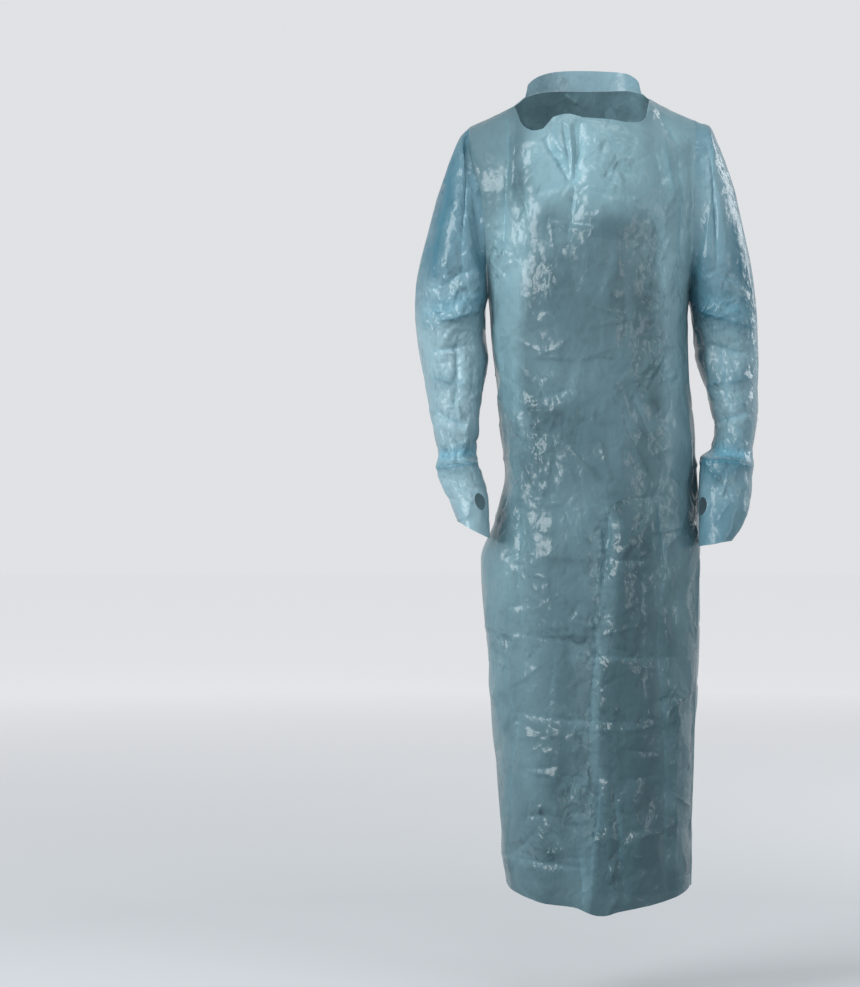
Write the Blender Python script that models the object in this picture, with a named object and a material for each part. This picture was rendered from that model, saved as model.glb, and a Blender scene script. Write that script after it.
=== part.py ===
"""Isolation gown of thin film, worn and hollow, with its back tied in a knot.

Each cut piece is one thin wall of its own. The torso pieces lie on one form: rings round the body
below the underarm, and a chest and a back that roof over to the shoulder line above it. The origin
is the middle of the neck opening at the height of the shoulder line. +X is the wearer's left, the
front faces -Y and +Z is up. The tables are in millimetres and the meshes in metres.
"""
import math
from collections import namedtuple

import bmesh
import bpy
from mathutils import Vector

MM = 0.001

# Driving sizes in millimetres
WALL = 1.2
SEAM_GAP = 0.6
ARMHOLE_GAP = 1.2
UNDERARM_GAP = 1.9
UNDERARM_Z = -306
HEM_Z = -1200
HEM_RISE_FROM = -1040
BODY_SQUARENESS = 2.3
SLEEVE_SQUARENESS = 2.2
SHOULDER_ROUND = 130
SHOULDER_LINE_Y = 7
BAND_STATIONS = (-0.5, 0.43)
BAND_HEIGHT = 31
BAND_LEAN = 3
BAND_GAP = 1.1
BAND_END = 0.35
BAND_ROWS = 3
LAP_SPREAD = 3.2
LAP_FROM_TURN = 150
LAP_TO_TURN = 180
SLEEVE_SIDES = 24
UPPER_ROWS = 9
WAIST_Z = -470
ROWS_TO_WAIST = 9
ROWS_TO_HEM = 19
HALF_COLUMNS = 13
WIDEST_COLUMN = 0.13
NECK_POINTS = (-0.58, 0.49)

# Sections of the torso: the wearer's right and left side and the front and back of each ring.
# Above the underarm the sides are those of the whole chest and shoulder, which the armholes cut.
Section = namedtuple("Section", "z right left front back")
TORSO = [
    Section(40, -200, 200, 84, 80),
    Section(-50, -200, 198, 94, 92),
    Section(-100, -196, 192, 106, 104),
    Section(-157, -186, 182, 118, 111),
    Section(-216, -172, 170, 127, 112),
    Section(-267, -160, 159, 131, 108),
    Section(-290, -154, 154, 131, 105),
    Section(-306, -150, 150, 131, 103),
    Section(-340, -147, 148, 128, 99),
    Section(-372, -146, 149, 126, 96),
    Section(-432, -142, 152, 122, 93),
    Section(-504, -136, 158, 120, 98),
    Section(-567, -131, 160, 122, 109),
    Section(-640, -143, 165, 126, 121),
    Section(-702, -160, 169, 130, 129),
    Section(-772, -158, 167, 131, 130),
    Section(-861, -150, 164, 129, 127),
    Section(-931, -145, 162, 128, 124),
    Section(-1038, -139, 159, 126, 118),
    Section(-1101, -133, 156, 124, 113),
    Section(-1162, -128, 154, 122, 108),
    Section(-1230, -120, 152, 120, 104),
]

# How far round from the centre front the side seams sit, in degrees, on each side
Seam = namedtuple("Seam", "z right left")
SIDE_SEAMS = [
    Seam(-306, 90, 90),
    Seam(-340, 94, 86),
    Seam(-430, 106, 78),
    Seam(-560, 112, 75),
    Seam(-1230, 114, 74),
]

# Armholes: how far from the middle each one cuts the torso, from the shoulder tip to the underarm
Armhole = namedtuple("Armhole", "z right left")
ARMHOLES = [
    Armhole(40, 178, 160),
    Armhole(-42, 177, 160),
    Armhole(-81, 180, 157),
    Armhole(-124, 172, 155),
    Armhole(-157, 163, 154),
    Armhole(-216, 156, 153),
    Armhole(-267, 153, 151),
    Armhole(-306, 150, 150),
]

# The shoulder line over the body: how high the front and the back rise to it at a distance from the
# middle. Inside the neck opening it is only the height that the surface round the neck aims for.
Ridge = namedtuple("Ridge", "x front back")
SHOULDER_LINE = [
    Ridge(-200, -66, -66),
    Ridge(-177, -52, -52),
    Ridge(-150, -40, -40),
    Ridge(-124, -28, -28),
    Ridge(-100, -14, -14),
    Ridge(-88, -7, 2),
    Ridge(-72, 2, 22),
    Ridge(-50, 11, 40),
    Ridge(-25, 18, 50),
    Ridge(0, 20, 53),
    Ridge(25, 18, 50),
    Ridge(45, 12, 43),
    Ridge(62, 5, 30),
    Ridge(76, -1, 9),
    Ridge(84, -5, -5),
    Ridge(108, -19, -19),
    Ridge(136, -32, -32),
    Ridge(160, -42, -42),
    Ridge(200, -60, -60),
]

# Top edge of the front: shoulder tip, shoulder seam, neckline, shoulder seam, shoulder tip.
# across is the share of the panel's width, from -1 at the wearer's right to 1 at the left.
TopPoint = namedtuple("TopPoint", "across x z")
FRONT_TOP = [
    TopPoint(-1.00, -177, -52),
    TopPoint(-0.85, -154, -42),
    TopPoint(-0.70, -131, -31),
    TopPoint(-0.58, -111, -20),
    TopPoint(-0.565, -110, -24),
    TopPoint(-0.55, -109, -29),
    TopPoint(-0.525, -107, -37),
    TopPoint(-0.48, -103, -51),
    TopPoint(-0.43, -95, -62),
    TopPoint(-0.38, -84, -67),
    TopPoint(-0.33, -72, -65),
    TopPoint(-0.29, -63, -56),
    TopPoint(-0.25, -54, -46),
    TopPoint(-0.16, -34, -42),
    TopPoint(-0.05, -10, -48),
    TopPoint(0.12, 28, -51),
    TopPoint(0.26, 58, -55),
    TopPoint(0.33, 73, -53),
    TopPoint(0.39, 82, -45),
    TopPoint(0.435, 86, -30),
    TopPoint(0.455, 89, -19),
    TopPoint(0.475, 91, -13),
    TopPoint(0.49, 92, -10),
    TopPoint(0.65, 113, -21),
    TopPoint(0.82, 138, -33),
    TopPoint(1.00, 160, -42),
]

# Top edge of the yoke: the same shoulder seams, with the neck seam round the back between them
BACK_TOP = [
    TopPoint(-1.00, -177, -52),
    TopPoint(-0.85, -154, -42),
    TopPoint(-0.70, -131, -31),
    TopPoint(-0.58, -111, -20),
    TopPoint(-0.48, -90, -4),
    TopPoint(-0.38, -72, 4),
    TopPoint(-0.26, -50, 8),
    TopPoint(-0.13, -25, 9),
    TopPoint(0.00, 0, 9),
    TopPoint(0.13, 25, 9),
    TopPoint(0.23, 45, 9),
    TopPoint(0.33, 62, 8),
    TopPoint(0.41, 77, 2),
    TopPoint(0.49, 92, -10),
    TopPoint(0.65, 113, -21),
    TopPoint(0.82, 138, -33),
    TopPoint(1.00, 160, -42),
]

# Lower edge of the yoke, from the wearer's right armhole to the left one
YokeHem = namedtuple("YokeHem", "across z")
YOKE_HEM = [
    YokeHem(-1.00, -257),
    YokeHem(-0.70, -243),
    YokeHem(-0.45, -234),
    YokeHem(-0.25, -212),
    YokeHem(-0.05, -205),
    YokeHem(0.15, -212),
    YokeHem(0.35, -223),
    YokeHem(0.60, -230),
    YokeHem(1.00, -244),
]

# Free edges of the two back halves: from the underarm in to the knot, then down the centre back.
# lap is how far the edge stands out from the body where one half lies on the other.
BackEdge = namedtuple("BackEdge", "z x lap")
LEFT_EDGE = [
    BackEdge(-306, 146, 0),
    BackEdge(-322, 137, 0),
    BackEdge(-337, 128, 0),
    BackEdge(-370, 126, 0),
    BackEdge(-388, 121, 0),
    BackEdge(-402, 100, 0),
    BackEdge(-418, 78, 0),
    BackEdge(-434, 52, 0),
    BackEdge(-450, 24, 0),
    BackEdge(-464, 4, 0),
    BackEdge(-478, 1, 0),
    BackEdge(-500, 6, 0),
    BackEdge(-560, 20, 0),
    BackEdge(-650, 27, 0),
    BackEdge(-731, 28, 0),
    BackEdge(-839, 23, 0),
    BackEdge(-932, 18, 0.5),
    BackEdge(-1035, 5, 1),
    BackEdge(-1118, -8, 1),
    BackEdge(-1230, -22, 1),
]
RIGHT_EDGE = [
    BackEdge(-306, -143, 0),
    BackEdge(-318, -124, 0),
    BackEdge(-332, -106, 0),
    BackEdge(-352, -94, 0),
    BackEdge(-380, -88, 0),
    BackEdge(-404, -76, 0),
    BackEdge(-418, -62, 0),
    BackEdge(-434, -42, 0),
    BackEdge(-450, -20, 0),
    BackEdge(-464, -5, 0),
    BackEdge(-478, -3, 0),
    BackEdge(-500, -9, 0),
    BackEdge(-560, -26, 0),
    BackEdge(-650, -44, 0),
    BackEdge(-759, -50, 0),
    BackEdge(-819, -30, 0),
    BackEdge(-882, -13, 0),
    BackEdge(-950, -5, -0.5),
    BackEdge(-1025, 4, -1),
    BackEdge(-1118, 12, -1),
    BackEdge(-1230, 18, -1),
]

# Height of the hem round the body, by degrees from the centre front, wearer's right negative
Hem = namedtuple("Hem", "turn rise")
HEM = [
    Hem(-180, 11),
    Hem(-150, 4),
    Hem(-120, 12),
    Hem(-95, 14),
    Hem(-70, 8),
    Hem(-38, -3),
    Hem(-15, -7),
    Hem(-1, -19),
    Hem(8, -13),
    Hem(25, -7),
    Hem(50, 3),
    Hem(75, 14),
    Hem(95, 14),
    Hem(120, -6),
    Hem(150, -17),
    Hem(190, -17),
]

# Sleeve rings from the shoulder to the cuff: the outer and the inner end of each ring as the front
# shows them, and how far it reaches to the front and back
SleeveRing = namedtuple("SleeveRing", "outer_x outer_z inner_x inner_z front back")
RIGHT_SLEEVE = [
    SleeveRing(192, -68, 153.0, -310, -74, 76),
    SleeveRing(205, -96, 153.5, -314, -80, 82),
    SleeveRing(217, -130, 154.0, -319, -82, 84),
    SleeveRing(230, -170, 154.0, -325, -81, 85),
    SleeveRing(243, -219, 154.0, -333, -78, 84),
    SleeveRing(254, -260, 153.5, -343, -74, 82),
    SleeveRing(261, -300, 153.0, -356, -70, 80),
    SleeveRing(263, -338, 152.0, -373, -66, 77),
    SleeveRing(262, -374, 152.0, -396, -64, 72),
    SleeveRing(257, -418, 154.0, -428, -64, 64),
    SleeveRing(250, -462, 157.0, -464, -67, 52),
    SleeveRing(244, -500, 161.0, -500, -71, 38),
    SleeveRing(237, -531, 163.0, -530, -76, 25),
    SleeveRing(232, -558, 163.0, -553, -82, 12),
    SleeveRing(228, -579, 157.0, -574, -89, 1),
    SleeveRing(218, -598, 151.0, -592, -97, -7),
    SleeveRing(208, -616, 148.0, -611, -105, -16),
    SleeveRing(202, -631, 147.5, -634, -112, -25),
    SleeveRing(196, -645, 147.0, -669, -120, -34),
]
LEFT_SLEEVE = [
    SleeveRing(180, -50, 153.0, -310, -74, 76),
    SleeveRing(195, -80, 153.5, -314, -80, 82),
    SleeveRing(210, -118, 154.0, -319, -82, 84),
    SleeveRing(224, -164, 154.5, -325, -81, 85),
    SleeveRing(237, -220, 155.0, -333, -78, 84),
    SleeveRing(247, -268, 155.5, -343, -74, 82),
    SleeveRing(254, -318, 156.5, -357, -70, 80),
    SleeveRing(257, -358, 159.0, -376, -66, 76),
    SleeveRing(258, -400, 165.0, -404, -64, 70),
    SleeveRing(257, -442, 172.0, -438, -64, 61),
    SleeveRing(254, -482, 181.0, -476, -68, 48),
    SleeveRing(249, -514, 187.0, -508, -72, 34),
    SleeveRing(246, -537, 181.0, -532, -78, 22),
    SleeveRing(244, -556, 163.0, -549, -86, 10),
    SleeveRing(241, -577, 161.0, -570, -94, -1),
    SleeveRing(238, -601, 158.0, -594, -102, -11),
    SleeveRing(233, -623, 158.0, -620, -110, -21),
    SleeveRing(222, -647, 159.0, -648, -119, -32),
    SleeveRing(206, -670, 159.0, -680, -127, -42),
]

# Thumb holes: the ring and the corner of the ring that their middle sits on
THUMB_HOLES = {"right": (17, 8), "left": (17, 10)}
THUMB_CORNERS = 0.72
THUMB_ENDS = 0.8

# Soft main folds, each a ridge from one point of the torso to another as the front or back shows it
Fold = namedtuple("Fold", "x0 z0 x1 z1 reach height")
FRONT_FOLDS = [
    Fold(-68, -70, -28, -148, 11, 6),
    Fold(-14, -52, -26, -148, 11, 6),
    Fold(-27, -140, -34, -240, 12, 6),
    Fold(-126, -38, -142, -240, 14, 7),
    Fold(100, -30, 138, -90, 13, 5),
    Fold(128, -60, 136, -260, 14, 7),
    Fold(-142, -300, -46, -214, 18, 7),
    Fold(140, -290, 50, -220, 18, 7),
    Fold(-136, -330, -30, -300, 18, -4),
    Fold(136, -345, 44, -296, 18, -4),
    Fold(-118, -390, 30, -440, 24, 5),
    Fold(110, -420, -10, -500, 24, 5),
    Fold(19, -700, -2, -1240, 15, 8),
    Fold(-108, -560, -96, -1230, 22, 8),
    Fold(106, -540, 112, -1230, 22, 8),
    Fold(-56, -640, -58, -1230, 20, -6),
    Fold(64, -620, 62, -1230, 20, -6),
]
LEFT_HALF_FOLDS = [
    Fold(10, -480, 104, -440, 10, 8),
    Fold(12, -488, 122, -486, 12, 8),
    Fold(12, -497, 110, -552, 13, 8),
    Fold(16, -510, 82, -690, 14, 7),
    Fold(98, -640, 84, -1230, 22, 8),
    Fold(56, -740, 50, -1230, 18, -6),
]
RIGHT_HALF_FOLDS = [
    Fold(-12, -474, -104, -428, 10, 8),
    Fold(-14, -484, -130, -480, 12, 8),
    Fold(-14, -494, -126, -560, 13, 8),
    Fold(-20, -510, -92, -690, 14, 7),
    Fold(-112, -640, -100, -1230, 22, 8),
    Fold(-66, -780, -58, -1230, 18, -6),
]
YOKE_FOLDS = [
    Fold(-130, -44, -140, -250, 14, 7),
    Fold(128, -50, 138, -240, 14, 7),
    Fold(-96, -96, 84, -108, 18, 6),
    Fold(-70, -160, 70, -172, 16, -5),
    Fold(-110, -205, 20, -180, 14, 4),
]

# Folds of a sleeve, from one height and turn round the arm to another. The turn goes in degrees
# from the outer side, over the front at 90 and the inner side at 180, to the back at 270.
SleeveFold = namedtuple("SleeveFold", "z0 turn0 z1 turn1 reach height")
SLEEVE_MM_PER_DEGREE = 0.95
SLEEVE_FOLDS = [
    SleeveFold(-96, 40, -250, 120, 12, 6),
    SleeveFold(-150, 30, -290, 112, 12, 5),
    SleeveFold(-110, 320, -255, 240, 12, 6),
    SleeveFold(-280, 230, -330, 130, 13, -5),
    SleeveFold(-330, 250, -395, 110, 13, 5),
    SleeveFold(-375, 255, -430, 100, 12, -4),
    SleeveFold(-420, 240, -500, 80, 12, 4),
    SleeveFold(-536, -20, -548, 190, 8, 5),
    SleeveFold(-560, -20, -572, 190, 8, -4),
    SleeveFold(-582, -20, -592, 200, 8, 4),
]

# Tie ends: rows from the knot outwards, with the two edges and the distance from the back
TailRow = namedtuple("TailRow", "z left right lift")
TAIL_LEFT = [
    TailRow(-493.2, 8, 0.8, 9),
    TailRow(-512, 30, 4, 11),
    TailRow(-530, 52, 7, 11),
    TailRow(-549, 80, 10, 10),
    TailRow(-566, 102, 12, 9),
    TailRow(-590, 92, 15, 9),
    TailRow(-620, 78, 9, 9),
    TailRow(-650, 62, -6, 9),
    TailRow(-680, 48, -22, 10),
    TailRow(-706, 39, -36, 10),
    TailRow(-737, 30, -44, 11),
    TailRow(-764, 21, -50, 11),
    TailRow(-792, 15, -40, 10),
    TailRow(-818, 8, -26, 9),
    TailRow(-845, 0, -6, 8),
]
TAIL_RIGHT = [
    TailRow(-493.3, -1, -7, 8.5),
    TailRow(-518, -5, -34, 8),
    TailRow(-546, -8, -64, 8),
    TailRow(-574, -20, -91, 7),
    TailRow(-596, -35, -78, 7),
    TailRow(-619, -33, -64, 7),
    TailRow(-643, -25, -62, 7),
    TailRow(-672, -40, -70, 7),
    TailRow(-704, -58, -79, 7),
    TailRow(-730, -80, -87, 7),
]

# The two bright doubled ends: rows along their own middle line
StripRow = namedtuple("StripRow", "x z width lift")
TAIL_UPPER = [
    StripRow(3.9, -462.4, 8, 8),
    StripRow(20, -447, 15, 16),
    StripRow(36, -429, 20, 19),
    StripRow(52, -411, 22, 19),
    StripRow(66, -396, 21, 18),
]
TAIL_LOWER = [
    StripRow(-9.1, -488.0, 8, 11.5),
    StripRow(-26, -505, 16, 18),
    StripRow(-46, -521, 19, 19),
    StripRow(-64, -536, 18, 18),
    StripRow(-79, -549, 13, 17),
]
TAIL_COLUMNS = 5
TAIL_WAVE = 2.0
TAIL_WAVE_WIDTH = 60
STRIP_COLUMNS = 4
STRIP_BULGE = 4
STRIP_FULL_WIDTH = 22

# The knot
KNOT_Z = -477
KNOT_X = -1
KNOT_HALF_WIDTH = 10
KNOT_HALF_DEPTH = 10
KNOT_HALF_HEIGHT = 16
KNOT_GROOVE = 0.16
KNOT_GROOVE_SLANT = 0.35
KNOT_GROOVE_REACH = 0.22
KNOT_LIFT = -0.4
KNOT_TURNS = 16
KNOT_LEVELS = 10

FILM_BLUE = (0.21, 0.37, 0.43, 1.0)
DOUBLED_BLUE = (0.03, 0.34, 0.55, 1.0)
FILM_ROUGHNESS = 0.35
SHARP_ANGLE = math.radians(40)


def lookup(table, key, column, at):
    """Read a column of a table at a place between its rows, on a smooth curve through them."""
    keys = [getattr(row, key) for row in table]
    values = [getattr(row, column) for row in table]
    if keys[0] > keys[-1]:
        keys.reverse()
        values.reverse()
    last = len(keys) - 1
    if at <= keys[0]:
        return values[0]
    if at >= keys[last]:
        return values[last]
    i = max(k for k in range(last) if keys[k] <= at)
    span = keys[i + 1] - keys[i]
    rise = values[i + 1] - values[i]
    before = rise if i == 0 else (values[i] - values[i - 1]) * span / (keys[i] - keys[i - 1])
    after = rise if i + 1 == last else (values[i + 2] - values[i + 1]) * span / (keys[i + 2] - keys[i + 1])
    start_slope = 0.0 if before * rise <= 0 else 2 * before * rise / (before + rise)
    end_slope = 0.0 if after * rise <= 0 else 2 * after * rise / (after + rise)
    t = (at - keys[i]) / span
    return (
        values[i] * (1 + 2 * t) * (1 - t) ** 2
        + start_slope * t * (1 - t) ** 2
        + values[i + 1] * t * t * (3 - 2 * t)
        + end_slope * t * t * (t - 1)
    )


def torso(column, z):
    return lookup(TORSO, "z", column, z)


def torso_middle(z):
    return (torso("left", z) + torso("right", z)) / 2


def torso_half_width(z):
    return (torso("left", z) - torso("right", z)) / 2


def rounded(share):
    """Turn a sine or cosine into its share on the squarish oval of the body."""
    return math.copysign(abs(share) ** (2 / BODY_SQUARENESS), share)


def body_point(z, turn):
    """A point of the body's ring at a height, turn degrees from the centre front towards +X."""
    angle = math.radians(turn)
    forward = math.cos(angle)
    depth = torso("front", z) if forward > 0 else torso("back", z)
    x = torso_middle(z) + torso_half_width(z) * rounded(math.sin(angle))
    return Vector((x, -depth * rounded(forward), z))


def depth_at(x, z, facing):
    """Distance of the chest (facing -1) or the back (facing 1) from the middle plane."""
    share = min(1.0, abs(x - torso_middle(z)) / torso_half_width(z))
    depth = torso("front", z) if facing < 0 else torso("back", z)
    return facing * depth * (1 - share ** BODY_SQUARENESS) ** (1 / BODY_SQUARENESS)


def armhole_x(side, z):
    """Where the armhole of a side, -1 the wearer's right or 1 the left, cuts the torso."""
    return side * lookup(ARMHOLES, "z", "right" if side < 0 else "left", z)


def shoulder_line(x, facing):
    return lookup(SHOULDER_LINE, "x", "front" if facing < 0 else "back", x)


def roofed(x, z, facing):
    """A point of the chest or the upper back, which rounds over to the shoulder line."""
    drop = min(1.0, max(0.0, (shoulder_line(x, facing) - z) / SHOULDER_ROUND))
    roof = math.sqrt(1 - (1 - drop) ** 2)
    return Vector((x, SHOULDER_LINE_Y + (depth_at(x, z, facing) - SHOULDER_LINE_Y) * roof, z))


def shoulder_point(top_edge, across, share, facing, low_z=UNDERARM_Z):
    """A point of the chest or the yoke: share 0 at the height low_z, 1 on the top edge."""
    top_x = lookup(top_edge, "across", "x", across)
    top_z = lookup(top_edge, "across", "z", across)
    if across <= NECK_POINTS[0] or across >= NECK_POINTS[1]:
        top_z = shoulder_line(top_x, facing)
    side = -1 if across < 0 else 1
    z = low_z + (top_z - low_z) * share
    rise = (z - UNDERARM_Z) / (top_z - UNDERARM_Z)
    low_spread = rounded(math.sin(math.radians(90 * abs(across))))
    top_spread = min(1.0, top_x / armhole_x(side, top_z))
    x = armhole_x(side, z) * (low_spread + (top_spread - low_spread) * rise)
    return roofed(x, z, facing)


def hem_drop(point, turn):
    """Let the rows near the hem follow its uneven height."""
    share = min(1.0, max(0.0, (HEM_RISE_FROM - point.z) / (HEM_RISE_FROM - HEM_Z)))
    return point + Vector((0, 0, lookup(HEM, "turn", "rise", turn) * share))


def grid_normals(grid, closed):
    """Average the normals of the cells round each point of a grid, outward for the given order."""
    rows, columns = len(grid), len(grid[0])
    normals = [[Vector((0, 0, 0)) for _ in range(columns)] for _ in range(rows)]
    for r in range(rows - 1):
        for c in range(columns if closed else columns - 1):
            d = (c + 1) % columns
            face = (grid[r + 1][d] - grid[r][c]).cross(grid[r + 1][c] - grid[r][d])
            for i, j in ((r, c), (r, d), (r + 1, c), (r + 1, d)):
                normals[i][j] += face
    return [[normal.normalized() for normal in row] for row in normals]


def ridge_height(start, end, here, reach, height):
    """Height of one soft ridge at a place of the plane, tapering to nothing at its two ends."""
    run = end - start
    along = (here - start).dot(run) / run.length_squared
    if not 0 < along < 1:
        return 0.0
    aside = (here - start - run * along).length / reach
    return height * math.sin(math.pi * along) ** 0.5 * math.exp(-aside * aside)


def with_folds(grid, folds):
    """Move the inner points of a torso piece out along their normals by its folds."""
    normals = grid_normals(grid, False)
    for r in range(len(grid)):
        for c in range(1, len(grid[0]) - 1):
            here = Vector((grid[r][c].x, grid[r][c].z))
            rise = sum(
                ridge_height(Vector((f.x0, f.z0)), Vector((f.x1, f.z1)), here, f.reach, f.height)
                for f in folds
            )
            grid[r][c] = grid[r][c] + normals[r][c] * rise
    return grid


def with_sleeve_folds(grid):
    """Move the points of a sleeve's rings out or in by its folds, but not those at the armhole."""
    for ring in grid[1:]:
        middle = sum(ring, Vector((0, 0, 0))) / SLEEVE_SIDES
        moved = []
        for k, point in enumerate(ring):
            rise = 0.0
            for lap in (0, 360):
                here = Vector((point.z, (360 * k / SLEEVE_SIDES - lap) * SLEEVE_MM_PER_DEGREE))
                for f in SLEEVE_FOLDS:
                    start = Vector((f.z0, f.turn0 * SLEEVE_MM_PER_DEGREE))
                    end = Vector((f.z1, f.turn1 * SLEEVE_MM_PER_DEGREE))
                    rise += ridge_height(start, end, here, f.reach, f.height)
            moved.append(point + (point - middle).normalized() * rise)
        ring[:] = moved
    return grid


def draw_back(grid, first=0.0, last=0.0):
    """Pull the first and last column of a grid in from the seams that they meet."""
    for row in grid:
        for edge, neighbour, distance in ((0, 1, first), (-1, -2, last)):
            row[edge] = row[edge] + (row[neighbour] - row[edge]).normalized() * distance
    return grid


def new_material(name, colour):
    material = bpy.data.materials.new(name)
    material.use_nodes = True
    shader = material.node_tree.nodes["Principled BSDF"]
    shader.inputs["Base Color"].default_value = colour
    shader.inputs["Roughness"].default_value = FILM_ROUGHNESS
    return material


def add_piece(name, mesh_data, colour):
    """Make an object of a finished mesh, with a film material of its own."""
    mesh = bpy.data.meshes.new(name)
    mesh_data.to_mesh(mesh)
    mesh_data.free()
    mesh.materials.append(new_material(name + "_film", colour))
    mesh.shade_smooth()
    mesh.set_sharp_from_angle(angle=SHARP_ANGLE)
    piece = bpy.data.objects.new(name, mesh)
    bpy.context.collection.objects.link(piece)
    return piece


def film_wall(name, grid, colour=FILM_BLUE, closed=False, missing=()):
    """Build a thin closed wall on a grid of points, with a rim wherever a cell has no neighbour."""
    rows, columns = len(grid), len(grid[0])
    normals = grid_normals(grid, closed)
    cells = [
        (r, c)
        for r in range(rows - 1)
        for c in range(columns if closed else columns - 1)
        if (r, c) not in missing
    ]
    build = bmesh.new()
    corners = {}

    def corner(r, c, outward):
        key = (r, c % columns, outward)
        if key not in corners:
            place = grid[r][c % columns] + normals[r][c % columns] * (outward * WALL / 2)
            corners[key] = build.verts.new(place * MM)
        return corners[key]

    edge_use = {}
    for r, c in cells:
        loop = [(r, c), (r, c + 1), (r + 1, c + 1), (r + 1, c)]
        build.faces.new([corner(i, j, 1) for i, j in loop])
        build.faces.new([corner(i, j, -1) for i, j in reversed(loop)])
        for start, end in zip(loop, loop[1:] + loop[:1]):
            a = (start[0], start[1] % columns)
            b = (end[0], end[1] % columns)
            if edge_use.pop((b, a), None) is None:
                edge_use[(a, b)] = True
    for a, b in edge_use:
        build.faces.new([corner(*b, 1), corner(*a, 1), corner(*a, -1), corner(*b, -1)])
    bmesh.ops.triangulate(build, faces=build.faces)
    return add_piece(name, build, colour)


def torso_rows():
    """Heights of the rows from the underarm to the hem, closer together above the waist."""
    above = [UNDERARM_Z + (WAIST_Z - UNDERARM_Z) * k / ROWS_TO_WAIST for k in range(ROWS_TO_WAIST)]
    below = [WAIST_Z + (HEM_Z - WAIST_Z) * k / ROWS_TO_HEM for k in range(ROWS_TO_HEM + 1)]
    return above + below


def upper_shares():
    """Rows between the top edge and the underarm, closer together where the shoulder rounds over."""
    return [math.cos(math.pi / 2 * k / UPPER_ROWS) for k in range(UPPER_ROWS)]


def columns_of(top_edge):
    """The table's own columns, with one more wherever two of them lie far apart."""
    stations = [row.across for row in top_edge]
    between = [(a + b) / 2 for a, b in zip(stations, stations[1:]) if b - a > WIDEST_COLUMN]
    return sorted(stations + between)


def make_front_panel():
    across = columns_of(FRONT_TOP)
    grid = [[shoulder_point(FRONT_TOP, u, share, -1) for u in across] for share in upper_shares()]
    grid[0] = [point - Vector((0, SEAM_GAP, 0)) for point in grid[0]]
    for z in torso_rows():
        row = []
        for u in across:
            turn = u * lookup(SIDE_SEAMS, "z", "right" if u < 0 else "left", z)
            row.append(hem_drop(body_point(z, turn), turn))
        grid.append(row)
    return film_wall("front_panel", draw_back(with_folds(grid, FRONT_FOLDS), SEAM_GAP / 2, SEAM_GAP / 2))


def edge_turn(edge, z):
    """Degrees from the centre front at which a back half ends at a height."""
    side = 1 if edge[0].x > 0 else -1
    share = (lookup(edge, "z", "x", z) - torso_middle(z)) / torso_half_width(z) * side
    share = max(-1.0, min(1.0, share))
    return 180 - math.degrees(math.asin(math.copysign(abs(share) ** (BODY_SQUARENESS / 2), share)))


def make_back_half(name, side, edge, folds):
    """One back half, from its side seam to its free edge."""
    seam_column = "left" if side > 0 else "right"
    grid = []
    for z in torso_rows():
        seam = lookup(SIDE_SEAMS, "z", seam_column, z)
        free = edge_turn(edge, z)
        lap = lookup(edge, "z", "lap", z)
        row = []
        for k in range(HALF_COLUMNS + 1):
            turn = seam + (free - seam) * k / HALF_COLUMNS
            point = body_point(z, turn if side > 0 else -turn)
            nearness = (turn - LAP_FROM_TURN) / (LAP_TO_TURN - LAP_FROM_TURN)
            point.y += lap * LAP_SPREAD * min(1.0, max(0.0, nearness))
            row.append(hem_drop(point, side * turn))
        grid.append(row if side > 0 else row[::-1])
    grid = with_folds(grid, folds)
    if side > 0:
        draw_back(grid, first=SEAM_GAP / 2)
    else:
        draw_back(grid, last=SEAM_GAP / 2)
    return film_wall(name, grid)


def make_back_yoke():
    across = columns_of(BACK_TOP)
    grid = []
    for share in upper_shares() + [0.0]:
        row = []
        for u in across:
            row.append(shoulder_point(BACK_TOP, u, share, 1, lookup(YOKE_HEM, "across", "z", u)))
        grid.append(row[::-1])
    grid[0] = [point + Vector((0, SEAM_GAP, 0)) for point in grid[0]]
    return film_wall("back_yoke", draw_back(with_folds(grid, YOKE_FOLDS), SEAM_GAP / 2, SEAM_GAP / 2))


def make_neck_band():
    """The stand-up band on the yoke's neck seam, low at both ends."""
    across = [u for u in columns_of(BACK_TOP) if BAND_STATIONS[0] < u < BAND_STATIONS[1]]
    foot = [shoulder_point(BACK_TOP, u, 1.0, 1) for u in across]
    grid = []
    for level in range(BAND_ROWS, -1, -1):
        share = level / BAND_ROWS
        row = []
        for k, point in enumerate(foot):
            end = math.sin(math.pi * k / (len(foot) - 1)) ** 0.5
            inward = Vector((-point.x, -point.y, 0)).normalized()
            height = BAND_GAP + BAND_HEIGHT * share * (BAND_END + (1 - BAND_END) * end)
            row.append(point + Vector((0, 0, height)) + inward * BAND_LEAN * share)
        grid.append(row[::-1])
    return film_wall("neck_band", grid)


def armhole_ring(side):
    """The sleeve's first ring, round the armhole: over the tip, down the front, up the back."""
    ring = []
    for k in range(SLEEVE_SIDES):
        angle = 2 * math.pi * k / SLEEVE_SIDES
        share = (1 + math.cos(angle)) / 2
        facing = -1 if math.sin(angle) > 0 else 1
        top_edge = FRONT_TOP if facing < 0 else BACK_TOP
        point = shoulder_point(top_edge, side * 1.0, share, facing)
        point.x += side * (ARMHOLE_GAP + (UNDERARM_GAP - ARMHOLE_GAP) * (1 - share))
        ring.append(point)
    return ring


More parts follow.
